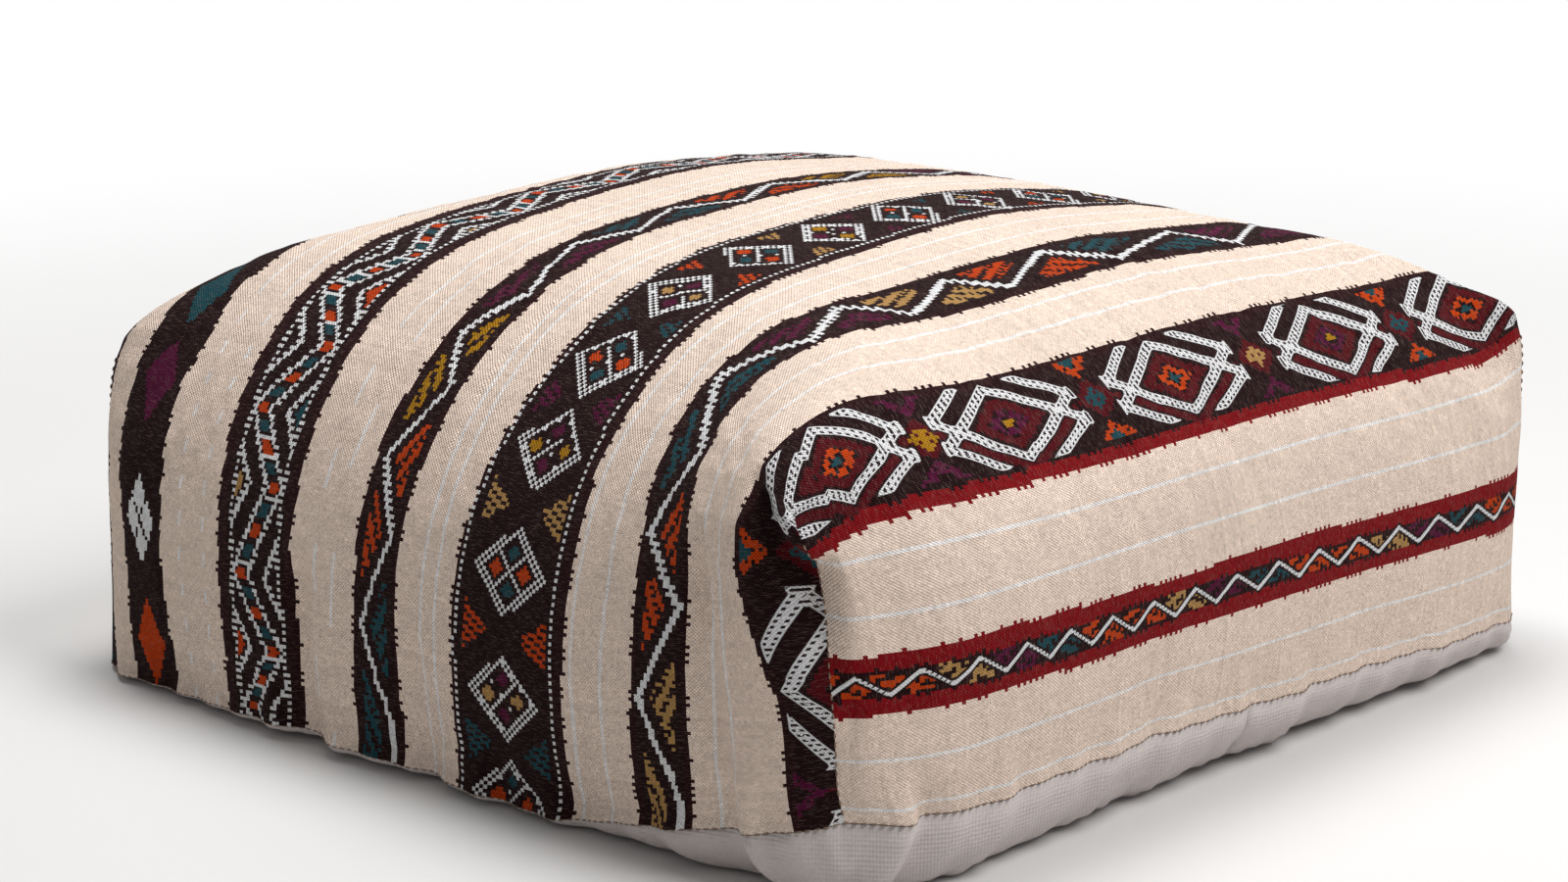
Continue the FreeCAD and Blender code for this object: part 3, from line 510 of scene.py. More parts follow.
def weave_hook_diamonds(dye, u, v, name):
    """The ground of the band of large diamonds: maroon fields, each with a dotted square and its core, and
    small diamonds and triangles in the gaps. The white strips over it are drawn by hook_strips."""
    w, half, inside = weave_band(dye, u, v, name)
    number, between, along, gap, out = hook_place(w, half, v)
    depth = HOOK_HEIGHT - HOOK_LEAN * along - out
    hook = HOOK_LEAN * (2 * HOOK_REACH - along) - HOOK_HEIGHT
    odd = number % 2 == 1
    dots = (cell(u) % 2 == 0) & (cell(v) % 3 == 0)
    beside_strip = (depth < -HOOK_STRIP - 1) & (out < hook - HOOK_STRIP - 1) & (along < HOOK_REACH) & (w > 0)
    paint(dye, inside & (abs(w + half) < 5), "brown")
    paint(dye, inside & (beside_strip | ((depth > HOOK_STRIP + 2.5) & (depth < 11.5))), "maroon")
    square = inside & (depth > 12.5)
    paint(dye, square, np.where(odd, DYE["magenta"], DYE["orange"]))
    paint(dye, (square & dots) | (inside & (depth > 16.5)), "dark")
    paint(dye, inside & (depth > 17.8), np.where(odd, DYE["mustard"], DYE["teal"]))
    ground = inside & (out < 24)
    paint(dye, ground & (gap / 15 + out / 11 < 1), "maroon")
    cores = by_turn(between, ("tan", "teal", "mustard", "teal"))
    paint(dye, ground & ~dots & (gap / 9 + out / 6.5 < 1), cores)
    paint(dye, ground & ~dots & (gap < (out - 12) * 1.1), by_turn(between, ("magenta", "orange")))
    paint(dye, ground & (gap < out - 18), by_turn(between, ("dark", "teal")))


# Half the length and width of a lone diamond
LONE_LONG, LONE_WIDE = 26.0, 11.0


def weave_lone_diamonds(dye, u, v, name):
    """A dark band with one diamond at a time, each in its own yarn and parted in four by thin lines."""
    w, _, inside = weave_band(dye, u, v, name)
    number, s = nearest(v, MIDDLES[name])
    a = abs(s / LONE_LONG + w / LONE_WIDE)
    b = abs(s / LONE_LONG - w / LONE_WIDE)
    yarns = by_turn(number, ("orange", "white", "magenta", "teal"))
    paint(dye, inside & (np.maximum(a, b) < 1), yarns)
    paint(dye, inside & (np.minimum(a, b) < 0.07) & (yarns == DYE["white"]), "dark")


# Towards the left end of the front the cloth is drawn aside by a share of the way down, from these places on.
DRAWN_SHARE, DRAWN_BELOW, DRAWN_LEFT, DRAWN_WIDTH = 0.1, -230.0, -20.0, 130.0


def kilim_dyes(u, v):
    """The dye of each weave cell of the blanket, u across the bands and v along them, in mm."""
    dye = np.full(u.shape, DYE["cream"])
    u = u - DRAWN_SHARE * np.maximum(DRAWN_BELOW - v, 0) * smooth((DRAWN_LEFT - u) / DRAWN_WIDTH)
    for stripe in STRIPES:
        paint(dye, abs(u - CELL * round(stripe / CELL) - CELL / 2) < CELL / 4, "stripe")
    for name, weave in WEAVES.items():
        weave(dye, u, v, name)
    return dye


# The bands in the order they are woven, the later over the earlier
WEAVES = {
    "outer_zigzag": weave_zigzag,
    "lone_diamonds": weave_lone_diamonds,
    "square_chain": weave_square_chain,
    "narrow_zigzag": weave_zigzag,
    "split_diamonds": weave_split_diamonds,
    "wide_zigzag": weave_zigzag,
    "red_stripe": weave_band,
    "hook_diamonds": weave_hook_diamonds,
    "red_border": weave_band,
    "small_zigzag": weave_zigzag,
}


def grid_mesh(grid, flip=False):
    """Points and quads of a grid of points, numbered row by row."""
    across, down = grid.shape[:2]
    first = (np.arange(across - 1)[:, None] * down + np.arange(down - 1)[None, :]).ravel()
    quads = np.stack([first, first + down, first + down + 1, first + 1], -1)
    return grid.reshape(-1, 3), quads[:, ::-1] if flip else quads


def linked(name, data):
    """A new object with the data, linked to the scene."""
    piece = bpy.data.objects.new(name, data)
    bpy.context.collection.objects.link(piece)
    return piece


def mesh_object(name, points, faces):
    """A mesh object of points in mm."""
    mesh = bpy.data.meshes.new(name)
    mesh.from_pydata((points * MM).astype(np.float32), [], faces)
    return linked(name, mesh)


def new_piece(name, mesh, material, node, uv=None):
    """An object of a mesh's points and faces that rides on the pouf and stands for the CAD node named."""
    piece = mesh_object(name, *mesh)
    if uv is not None:
        layer = piece.data.uv_layers.new(name="cloth")
        layer.data.foreach_set("uv", (uv * MM).astype(np.float32).ravel())
    piece.data.shade_smooth()
    piece.data.materials.append(material)
    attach(piece, "pouf")
    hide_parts(node)
    return piece


def thicken(piece, thickness):
    """Gives a sheet its thickness in mm, on the side that its faces turn away from."""
    wall = piece.modifiers.new("thickness", "SOLIDIFY")
    wall.thickness = thickness * MM
    wall.offset = -1.0


def weld(points, faces):
    """Merges points that share a place to 0.001 mm; returns them, the faces and each old point's number."""
    keys = np.round(points * 1000).astype(np.int64)
    _, first, number = np.unique(keys, axis=0, return_index=True, return_inverse=True)
    number = number.ravel()
    return points[first], number[faces], number


def join(parts):
    """Several lists of points and faces as one."""
    points, faces, count = [], [], 0
    for part_points, part_faces in parts:
        points.append(part_points)
        faces.append(part_faces + count)
        count += len(part_points)
    return np.concatenate(points), np.concatenate(faces)


# The blanket's cloth, cut as a cross: the top and four sides on one grid of weave cells.
TOP_U = np.arange(-FOLD["left"], FOLD["right"] + CELL / 2, CELL)
TOP_V = np.arange(-FOLD["front"], FOLD["back"] + CELL / 2, CELL)
DOWN = np.arange(ROWS + 1) / ROWS
CORNERS = (
    ("front", -1, "right", 0),
    ("right", -1, "back", -1),
    ("back", 0, "left", -1),
    ("left", 0, "front", 0),
)


def side_lines(u_lines, v_lines):
    """The lines across each side: those of the top's edge that it hangs from."""
    return {"front": u_lines, "right": v_lines, "back": u_lines, "left": v_lines}


def cloth_coordinates(side, p, q):
    """Cloth coordinates of a place on a side, p along it and q mm down from its fold."""
    reach = FOLD[side] + q
    if side in ("front", "back"):
        return p, OUTWARD[side][1] * reach
    return OUTWARD[side][0] * reach, p


def pouf_skin(u_lines, v_lines, down):
    """Points of the top and of each side on the given lines, with the sides closed at their corners.

    Two sides that meet at a corner are each eased on to the line midway between their two edges, and
    drawn in there by a bell; the near corner has the ear's lobe as well.
    """
    lines = side_lines(u_lines, v_lines)
    skin = {"top": top_points(*np.meshgrid(u_lines, v_lines, indexing="ij"))}
    for side, edge in lines.items():
        skin[side] = skirt_points(side, *np.meshgrid(edge, down, indexing="ij"))
    q = down * ROWS * CELL
    for side, end, other, other_end in CORNERS:
        middle = (skin[side][end] + skin[other][other_end]) / 2
        diagonal = (np.array(OUTWARD[side]) + np.array(OUTWARD[other])) / math.sqrt(2)
        for name, at in ((side, end), (other, other_end)):
            way = abs(lines[name] - lines[name][at])[:, None]
            out = -SEAM_DIP * bell(way / SEAM_WIDTH) * smooth(q / SEAM_START)
            if (side, other) == ("front", "right"):
                lobe = ear_lobe(way, q) if name == "front" else ear_lobe(0, q) * bell(way / LOBE_WIDTH_RIGHT)
                out = out + lobe
            ease = bell(way / CORNER_EASE)[..., None]
            skin[name] = skin[name] + ease * (middle - skin[name][at]) + out[..., None] * diagonal
    return skin


def skin_mesh(skin):
    """Points and quads of the skin's grids in one list, with the faces turned outwards."""
    return join([grid_mesh(grid, flip=name in ("front", "right")) for name, grid in skin.items()])


def skin_cloth(u_lines, v_lines, down):
    """Cloth coordinates of the skin's points, in the order of skin_mesh."""
    parts = [np.stack(np.meshgrid(u_lines, v_lines, indexing="ij"), -1).reshape(-1, 2)]
    for side, edge in side_lines(u_lines, v_lines).items():
        p, q = np.meshgrid(edge, down * ROWS * CELL, indexing="ij")
        parts.append(np.stack(cloth_coordinates(side, p, q), -1).reshape(-1, 2))
    return np.concatenate(parts)


def linear(code):
    """Linear colour of an sRGB hex value."""
    srgb = [int(code[i : i + 2], 16) / 255 for i in (1, 3, 5)]
    return tuple(c / 12.92 if c <= 0.04045 else ((c + 0.055) / 1.055) ** 2.4 for c in srgb) + (1.0,)


def add(tree, kind, inputs=None, **settings):
    """Adds a node, sets what it is told and links or fills its inputs; returns the node."""
    node = tree.nodes.new(kind)
    for name, value in settings.items():
        setattr(node, name, value)
    for name, value in (inputs or {}).items():
        if isinstance(value, bpy.types.NodeSocket):
            tree.links.new(value, node.inputs[name])
        else:
            node.inputs[name].default_value = value
    return node


def new_material(name):
    """An empty material with an output node; returns it, its tree and the output."""
    material = bpy.data.materials.new(name)
    material.use_nodes = True
    tree = material.node_tree
    tree.nodes.clear()
    return material, tree, tree.nodes.new("ShaderNodeOutputMaterial")


def maths(tree, operation, *values):
    """A maths node on sockets or numbers; returns its output."""
    return add(tree, "ShaderNodeMath", dict(enumerate(values)), operation=operation).outputs[0]


def stretch(tree, place, factors):
    """A place multiplied by a factor for each axis; returns the output."""
    return add(tree, "ShaderNodeVectorMath", {0: place, 1: factors}, operation="MULTIPLY").outputs[0]


def toned(tree, colour, tone):
    """A colour multiplied by a tone; returns the output."""
    return add(tree, "ShaderNodeVectorMath", {0: colour, "Scale": tone}, operation="SCALE").outputs[0]


def noise(tree, place, scale, detail):
    """Noise at a place; returns its value from 0 to 1."""
    inputs = {"Vector": place, "Scale": scale, "Detail": detail}
    return add(tree, "ShaderNodeTexNoise", inputs).outputs["Fac"]


def ramp(tree, value, low, high, start=0.0, end=1.0, **settings):
    """A value mapped from low and high to start and end, and held there beyond them; returns the output."""
    inputs = {"Value": value, 1: low, 2: high, 3: start, 4: end}
    return add(tree, "ShaderNodeMapRange", inputs, **settings).outputs[0]


def blend(tree, share, first, second):
    """A mix of two colours; returns the output."""
    return add(tree, "ShaderNodeMix", {"Factor": share, 6: first, 7: second}, data_type="RGBA").outputs[2]


def bump(tree, height, distance, strength):
    """A bumped normal; returns the output."""
    inputs = {"Height": height, "Distance": distance, "Strength": strength}
    return add(tree, "ShaderNodeBump", inputs).outputs[0]


def surface(tree, output, inputs):
    """A principled shader with these inputs, linked to the material's output."""
    shader = add(tree, "ShaderNodeBsdfPrincipled", inputs)
    tree.links.new(shader.outputs[0], output.inputs["Surface"])


def threads(tree, place, width, axes):
    """Sines of a place along some axes, with half a wave for each thread of the width in metres."""
    split = add(tree, "ShaderNodeSeparateXYZ", {0: stretch(tree, place, (math.pi / width,) * 3)}).outputs
    return [maths(tree, "SINE", split[axis]) for axis in axes]


def object_place(tree):
    """The place on the object; returns the output."""
    return add(tree, "ShaderNodeTexCoord").outputs["Object"]


# Holes in the white strips: spacing along the cloth, depth from a strip's edge, and half a row's width, in mm
HOLE_PITCH, HOLE_DEPTH, HOLE_ROW = 3.2, 1.4, 0.6


def with_strips(tree, cloth, ground):
    """The ground's colour with the white strips laid over it, edged in dark and pierced by two rows of holes.

    The attribute tells how far inside a strip a place lies, in mm; holes lie at a set depth in it, at
    every HOLE_PITCH along the cloth.
    """
    strip = add(tree, "ShaderNodeAttribute", attribute_name="strip").outputs["Fac"]
    along = add(tree, "ShaderNodeSeparateXYZ", {0: cloth}).outputs["Y"]
    part = maths(tree, "FRACT", maths(tree, "DIVIDE", along, HOLE_PITCH * MM))
    row = maths(tree, "COMPARE", strip, HOLE_DEPTH, HOLE_ROW)
    hole = maths(tree, "MULTIPLY", maths(tree, "LESS_THAN", part, 0.5), row)
    edged = ramp(tree, strip, -1.3, -0.9)
    white = ramp(tree, strip, -0.1, 0.25)
    for share, name in ((edged, "dark"), (white, "white"), (hole, "hole")):
        ground = blend(tree, share, ground, linear(DYES[name]))
    return ground


def stray_hairs(tree, cloth):
    """A thin scatter of grey-brown hairs, about 5 mm long and lying three ways; returns their cover."""
    cover = 0.0
    for turn in (0.5, -0.9, 2.1):
        turned = {"Vector": cloth, "Rotation": (0, 0, turn), "Scale": (190, 1900, 1)}
        place = add(tree, "ShaderNodeMapping", turned).outputs[0]
        hair = ramp(tree, noise(tree, place, 1.0, 0.0), 0.68, 0.76, 0.0, 0.17)
        cover = maths(tree, "MAXIMUM", hair, cover)
    return cover


def kilim_wool():
    """Hand-spun wool in a plain weave: matt, ribbed every two mm, with slubs, flecks and stray hairs."""
    material, tree, output = new_material("kilim_wool")
    cloth = add(tree, "ShaderNodeUVMap", uv_map="cloth").outputs["UV"]
    dye = add(tree, "ShaderNodeAttribute", attribute_name="dye").outputs["Color"]
    weave = maths(tree, "MULTIPLY", *threads(tree, cloth, CELL / 2 * MM, "XY"))
    yarn = noise(tree, cloth, 900.0, 3.0)
    slub = noise(tree, stretch(tree, cloth, (420.0, 700.0, 1.0)), 1.0, 4.0)
    shade = ramp(tree, maths(tree, "ADD", yarn, slub), 0.65, 1.3, 0.82, 1.13)
    drift = ramp(tree, noise(tree, cloth, 14.0, 3.0), 0.3, 0.7, 0.97, 1.03)
    colour = toned(tree, with_strips(tree, cloth, dye), maths(tree, "MULTIPLY", shade, drift))
    relief = maths(tree, "MULTIPLY_ADD", yarn, 0.8, weave)
    surface(tree, output, {
        "Base Color": blend(tree, stray_hairs(tree, cloth), colour, linear("#A08A7E")),
        "Roughness": 0.95, "IOR": 1.5, "Specular IOR Level": 0.05,
        "Sheen Weight": 0.02, "Sheen Roughness": 0.6, "Sheen Tint": linear("#F2E8DE"),
        "Normal": bump(tree, relief, 0.0005, 0.8)})
    return material


def plain_cloth(name, code, thread, relief=0.0002):
    """A plain-woven cotton: matt, its threads a given width in metres, with paler and darker threads."""
    material, tree, output = new_material(name)
    place = object_place(tree)
    over, under, upright = threads(tree, place, thread, "XYZ")
    weave = maths(tree, "ADD", maths(tree, "MULTIPLY", over, under), upright)
    flecks = maths(tree, "ADD", noise(tree, place, 60.0, 5.0), noise(tree, place, 700.0, 2.0))
    surface(tree, output, {
        "Base Color": toned(tree, linear(code)[:3], ramp(tree, flecks, 0.6, 1.4, 0.88, 1.08)),
        "Roughness": 0.9, "IOR": 1.5, "Specular IOR Level": 0.2,
        "Sheen Weight": 0.06, "Sheen Roughness": 0.6, "Normal": bump(tree, weave, relief, 0.5)})
    return material


def moulded_plastic():
    """Acetal zip teeth, moulded: satin, faintly mottled, with a fine grain that breaks the highlight."""
    material, tree, output = new_material("moulded_acetal")
    place = object_place(tree)
    grain = noise(tree, place, 2500.0, 2.0)
    mottle = noise(tree, place, 160.0, 3.0)
    surface(tree, output, {
        "Base Color": blend(tree, mottle, linear("#B4A792"), linear("#C9BEAB")),
        "Roughness": ramp(tree, grain, 0.0, 1.0, 0.32, 0.5), "IOR": 1.48,
        "Normal": bump(tree, grain, 0.00005, 0.4)})
    return material


def lacquered_metal():
    """Die-cast zinc under a beige lacquer: smooth and half glossy, worn to bare metal in small specks."""
    material, tree, output = new_material("lacquered_zinc")
    wear = noise(tree, object_place(tree), 420.0, 5.0)
    worn = ramp(tree, wear, 0.6, 0.66)
    surface(tree, output, {
        "Base Color": blend(tree, worn, linear("#A99E8C"), linear("#B9B7B2")), "Metallic": worn,
        "Roughness": ramp(tree, wear, 0.0, 1.0, 0.42, 0.3), "Normal": bump(tree, wear, 0.00004, 0.4)})
    return material


WOOL = kilim_wool()
CANVAS = plain_cloth("cotton_canvas", "#C8BEBB", 0.0012)
THREAD = plain_cloth("cotton_thread", "#BFAE9B", 0.0006)
SEAM_THREAD = plain_cloth("brown_cotton_thread", "#86705F", 0.0006)
TAPE = plain_cloth("zip_tape_twill", "#C4B8A6", 0.0009)
CALICO = plain_cloth("case_calico", "#DDD6C6", 0.001)
FIBRE = plain_cloth("polyester_fibre", "#EAE8E2", 0.004, 0.001)
PLASTIC = moulded_plastic()
METAL = lacquered_metal()
for material, nodes in (
    (PLASTIC, ("zip_teeth_front", "zip_teeth_back", "zip_closed_stops", "zip_open_stop")),
    (METAL, ("zip_slider", "zip_pull")),
):
    for node in nodes:
        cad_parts[node].material_slots[0].material = material

# The cloth simulation: a coarse skin that is a little too large settles under the filling's pressure, held
# fast at the base seam and softly elsewhere. Its small creases are carried over to the blanket.
SETTLE_LINES, SETTLE_ROWS, SETTLE_FRAMES = 77, 29, 20
SETTLE_HOLD = 0.02
SETTLE_LIMIT = 6.0
SLACK_START = 0.3
BROAD_STEPS = 60
SETTLE = {
    "quality": 8,
    "mass": 0.002,
    "bending_stiffness": 0.2,
    "use_pressure": True,
    "uniform_pressure_force": 4.0,
    "vertex_group_mass": "held",
    "vertex_group_shrink": "slack",
    "shrink_min": 0.0,
    "shrink_max": -0.05,
}


def hat_weights(fine, coarse):
    """The share of each coarse line at each fine line, for a straight blend between neighbours."""
    place = np.interp(fine, coarse, np.arange(len(coarse)))
    return np.clip(1 - abs(place[:, None] - np.arange(len(coarse))), 0, 1)


def broad_part(values, quads):
    """The smooth part of values on a mesh: each point takes the mean of its neighbours, many times over."""
    ends = np.concatenate([quads[:, [k, (k + 1) % 4]] for k in range(4)])
    count = np.bincount(ends.ravel(), minlength=len(values))[:, None]
    for _ in range(BROAD_STEPS):
        total = np.zeros_like(values)
        np.add.at(total, ends[:, 0], values[ends[:, 1]])
        np.add.at(total, ends[:, 1], values[ends[:, 0]])
        values = total / count
    return values


def settle(points, quads, held, slack):
    """Runs the simulation on a mesh in mm and returns how far each point has moved, in mm."""
    piece = mesh_object("settling_cloth", points, quads)
    pins = piece.vertex_groups.new(name="held")
    pins.add(list(range(len(points))), SETTLE_HOLD, "REPLACE")
    pins.add(held.tolist(), 1.0, "REPLACE")
    piece.vertex_groups.new(name="slack").add(slack.tolist(), 1.0, "REPLACE")
    cloth = piece.modifiers.new("settle", "CLOTH")
    cloth.point_cache.frame_end = SETTLE_FRAMES
    for name, value in SETTLE.items():
        setattr(cloth.settings, name, value)
    cloth.settings.effector_weights.gravity = 0.0
    for number in range(1, SETTLE_FRAMES + 1):
        bpy.context.scene.frame_set(number)
    settled = piece.evaluated_get(bpy.context.evaluated_depsgraph_get()).data
    places = np.empty(3 * len(points), np.float32)
    settled.vertices.foreach_get("co", places)
    bpy.data.objects.remove(piece)
    bpy.context.scene.frame_set(1)
    return places.reshape(-1, 3) / MM - points


def settled_shift():
    """Shifts of the blanket's grids, in mm, from the simulation on a coarse skin."""
    u_lines = np.linspace(TOP_U[0], TOP_U[-1], SETTLE_LINES)
    v_lines = np.linspace(TOP_V[0], TOP_V[-1], SETTLE_LINES)
    down = np.linspace(0, 1, SETTLE_ROWS)
    grids = pouf_skin(u_lines, v_lines, down)
    low = np.concatenate([np.zeros(SETTLE_LINES**2)] + [np.tile(down, SETTLE_LINES)] * 4)
    points, quads, number = weld(*skin_mesh(grids))
    held = np.unique(number[low == 1])
    moved = settle(points, quads, held, np.unique(number[low > SLACK_START]))
    shift = moved - broad_part(moved, quads)
    length = np.linalg.norm(shift, axis=1, keepdims=True)
    shift = shift * np.minimum(1, SETTLE_LIMIT / (length + 0.001))
    shift[held] = 0
    across = {"top": hat_weights(TOP_U, u_lines)}
    coarse_lines = side_lines(u_lines, v_lines)
    for side, edge in side_lines(TOP_U, TOP_V).items():
        across[side] = hat_weights(edge, coarse_lines[side])
    result, first = {}, 0
    for name, grid in grids.items():
        count = grid.shape[0] * grid.shape[1]
        part = shift[number[first : first + count]].reshape(grid.shape)
        first += count
        along = hat_weights(TOP_V, v_lines) if name == "top" else hat_weights(DOWN, down)
        result[name] = np.einsum("ik,jl,klc->ijc", across[name], along, part, optimize=True)
    return result


# The blanket, with a small chance tone for every row of weft and every cell, held between two limits
ROW_SPREAD, CELL_SPREAD, TONE_LIMITS = 0.025, 0.05, (0.75, 1.2)
CHANCE_ROWS = 1024
skin = pouf_skin(TOP_U, TOP_V, DOWN)
skin = {name: skin[name] + shift for name, shift in settled_shift().items()}
points, faces = skin_mesh(skin)
cloth = skin_cloth(TOP_U, TOP_V, DOWN)[faces]
cell_middle = cloth.mean(axis=1)
corner_cloth = cloth.reshape(-1, 2)
dye = kilim_dyes(*cell_middle.T)
mesh = weld(points, faces)[:2]
cover = new_piece("kilim_cover_wool", mesh, WOOL, "kilim_cover", corner_cloth)
chance = np.random.default_rng(11)
tones = chance.normal(1, ROW_SPREAD, CHANCE_ROWS)[cell(cell_middle[:, 1]) % CHANCE_ROWS]
tones = tones * chance.normal(1, CELL_SPREAD, len(dye))
colours = np.array([linear(code) for code in DYES.values()])[dye]
colours[:, :3] *= np.clip(tones, *TONE_LIMITS)[:, None]
layer = cover.data.attributes.new("dye", "FLOAT_COLOR", "FACE")
layer.data.foreach_set("color", colours.astype(np.float32).ravel())
layer = cover.data.attributes.new("strip", "FLOAT", "CORNER")
strips = np.maximum(hook_strips(*corner_cloth.T), zigzag_strip(*corner_cloth.T))
layer.data.foreach_set("value", strips.astype(np.float32))

# The canvas base: two halves that meet at the zip, flat on the floor, with a rim that rises to the seam.
RIM = 34.0
RIM_POWER = 1.7
RECESS = (214.0, 22.0)
RECESS_HEIGHT = 9.0
RECESS_SLOPE = 14.0
SLOT, SLOT_END, HALF_GAP = (196.0, 7.5), 8.0, 0.3
CANVAS_THICKNESS = 1.2
PUFF, PUFF_LENGTH = 1.7, 104.0
WRINKLE, WRINKLE_LENGTH = 1.0, 15.0
# Its folds stand out and down by these shares, in full where the seam is FULL_HEIGHT up or more.
FOLD_OUT, FOLD_DOWN, FULL_HEIGHT = 0.8, 0.6, 30.0
# Its lines lie close together over the rim and wider apart after it.
FINE_WIDTH, FINE_STEP, COARSE_STEP = RIM + 16, 2.0, 7.0


def ring_point(side, share):
    """A point of the base seam, share running from -1 to 1 along a side of the blanket."""
    row = skin[side][:, -1]
    at = np.where(share >= 0, FOLD[ENDS[side][1]], FOLD[ENDS[side][0]]) * share
    edge = side_lines(TOP_U, TOP_V)[side]
    return np.stack([np.interp(at, edge, row[:, axis]) for axis in range(3)], -1)


def rim_folds(points, way):
    """How far the canvas rim stands out: soft puffs between gathers, and slanted wrinkles in patches.

    Both are sines of the way round the base, the wrinkles slanting as they go down, and both fade out at
    the seam and on the floor.
    """
    x, y = points[..., 0], points[..., 1]
    run = np.where(abs(x) > abs(y), y, x)
    fade = smooth(way / 6) * (1 - smooth((way - 0.75 * RIM) / (0.7 * RIM)))
    puff = abs(np.sin(math.pi * (run + 20) / PUFF_LENGTH + 0.5 * np.sin(run / 50)))
    patchy = smooth(np.sin(run / 31 + 1.3) * np.sin(run / 53 + 0.4) * 2 + 0.4)
    wrinkle = np.sin(2 * math.pi * (run + 0.9 * way) / WRINKLE_LENGTH + 2 * np.sin(run / 17))
    return fade * (PUFF * (puff - 0.4) + WRINKLE * patchy * wrinkle)


def canvas_half(sign):
    """Half of the base, sign -1 for the front: a patch between the seam on three sides and the zip.

    Each point blends its four edges; its height is the seam's, by a quarter of a rounded square over
    the rim, and the recess over the zip lifts the middle.
    """
    side = "front" if sign < 0 else "back"
    coarse_count = int((HALF - FINE_WIDTH) / COARSE_STEP) + 2
    b = np.append(np.arange(0, FINE_WIDTH, FINE_STEP), np.linspace(FINE_WIDTH, HALF, coarse_count)) / HALF
    a = np.unique(np.round(np.concatenate([b - 1, 1 - b, np.linspace(-1, 1, 201)]), 3))
    a, b = np.meshgrid(a, b, indexing="ij")
    share = (a + 1) / 2
    edge = ring_point(side, a)
    left = ring_point("left", sign * (1 - b))
    right = ring_point("right", sign * (1 - b))
    west, east = ring_point("left", np.zeros(1))[0], ring_point("right", np.zeros(1))[0]
    middle = west + share[..., None] * (east - west)
    slot = SLOT[1] * (1 - smooth((abs(middle[..., 0]) - SLOT[0]) / SLOT_END)) + HALF_GAP
    middle[..., 1] = sign * slot
    west_row, east_row = (end + np.array([0, sign * HALF_GAP, 0]) for end in (west, east))
    s, t = share[..., None], b[..., None]
    corners = (1 - t) * ((1 - s) * edge[:1] + s * edge[-1:]) + t * ((1 - s) * west_row + s * east_row)
    points = (1 - t) * edge + t * middle + (1 - s) * left + s * right - corners
    ways = np.stack([b, (1 + a), (1 - a)]) * HALF + 0.01
    weights = ways**-3
    seam = (weights * np.stack([edge[..., 2], left[..., 2], right[..., 2]])).sum(0) / weights.sum(0)
    way = (ways**-6).sum(0) ** (-1 / 6)
    rise = 1 - np.clip(way / RIM, 0, 1)
    height = seam * (1 - (1 - rise**RIM_POWER) ** (1 / RIM_POWER))
    roof = np.maximum(abs(points[..., 0]) - RECESS[0], abs(points[..., 1]) - RECESS[1]) / RECESS_SLOPE
    points[..., 2] = np.maximum(height, RECESS_HEIGHT * (1 - smooth(roof)))
    out = points * LEVEL
    out = out / (np.linalg.norm(out, axis=-1, keepdims=True) + 1)
    folds = rim_folds(points, way) * np.clip(seam / FULL_HEIGHT, 0.2, 1)
    points = points + folds[..., None] * (FOLD_OUT * out + np.array([0, 0, -FOLD_DOWN]))
    points[..., 2] = np.maximum(points[..., 2], 0)
    return points


for name, sign in (("base_panel_front", -1), ("base_panel_back", 1)):
    half = new_piece(name + "_canvas", grid_mesh(canvas_half(sign), sign < 0), CANVAS, name)
    thicken(half, CANVAS_THICKNESS)


# Sewing: every stitch is a short plump thread that rises out of the cloth and dives back in. For each seam,
# the stitches' pitch and length and the thread's radius.
BASE_STITCH, CORNER_STITCH = (4.6, 3.4, 0.4), (5.0, 3.4, 0.45)
ZIP_STITCH, CASE_STITCH = (4.0, 3.0, 0.35), (9.0, 6.0, 0.5)
CORNER_SEWN = slice(12, -2)


def stitch_row(path, out, stitch):
    """Points and faces of stitches along a path, out giving the way out of the cloth at each of its points.

    A stitch is a ring carried along a shallow arch: its radius is that of the thread times the fourth
    root of one less the fourth power of the way from the middle.
    """
    pitch, length, radius = stitch
    run = np.concatenate([[0], np.cumsum(np.linalg.norm(np.diff(path, axis=0), axis=1))])
    at = np.arange(pitch / 2, run[-1], pitch)
    along = np.linspace(-1, 1, 6)
    angle = np.linspace(0, 2 * math.pi, 6, endpoint=False)
    where = at[:, None] + along * length / 2
    line = np.stack([np.interp(where, run, path[:, k]) for k in range(3)], -1)
    lift = np.stack([np.interp(at, run, out[:, k]) for k in range(3)], -1)
    lift = lift / np.linalg.norm(lift, axis=1, keepdims=True)
    tangent = line[:, -1] - line[:, 0]
    tangent = tangent / np.linalg.norm(tangent, axis=1, keepdims=True)
    side = np.cross(tangent, lift)
    girth = radius * np.sqrt(np.sqrt(np.clip(1 - along**4, 0.02, 1)))
    centre = line + lift[:, None] * (radius * (1 - 1.6 * along**2))[None, :, None]
    spokes = np.cos(angle)[:, None] * side[:, None, None] + np.sin(angle)[:, None] * lift[:, None, None]
    points = centre[:, :, None] + girth[None, :, None, None] * spokes
    count, rings, spokes_count = points.shape[:3]
    ring = np.arange(rings - 1)[:, None] * spokes_count
    first = ring + np.arange(spokes_count)
    after = ring + (np.arange(spokes_count) + 1) % spokes_count
    quads = np.stack([first, after, after + spokes_count, first + spokes_count], -1).reshape(-1, 4)
    faces = (quads[None] + (np.arange(count) * rings * spokes_count)[:, None, None]).reshape(-1, 4)
    return points.reshape(-1, 3), faces


def ring_line(grids, row):
    """The closed line that a row of the four sides makes round the pouf, and the way out from it."""
    there = [grids["front"][:, row], grids["right"][:, row]]
    back_again = [grids["back"][::-1, row], grids["left"][::-1, row]]
    line = np.concatenate(there + back_again)
    return line, line * LEVEL


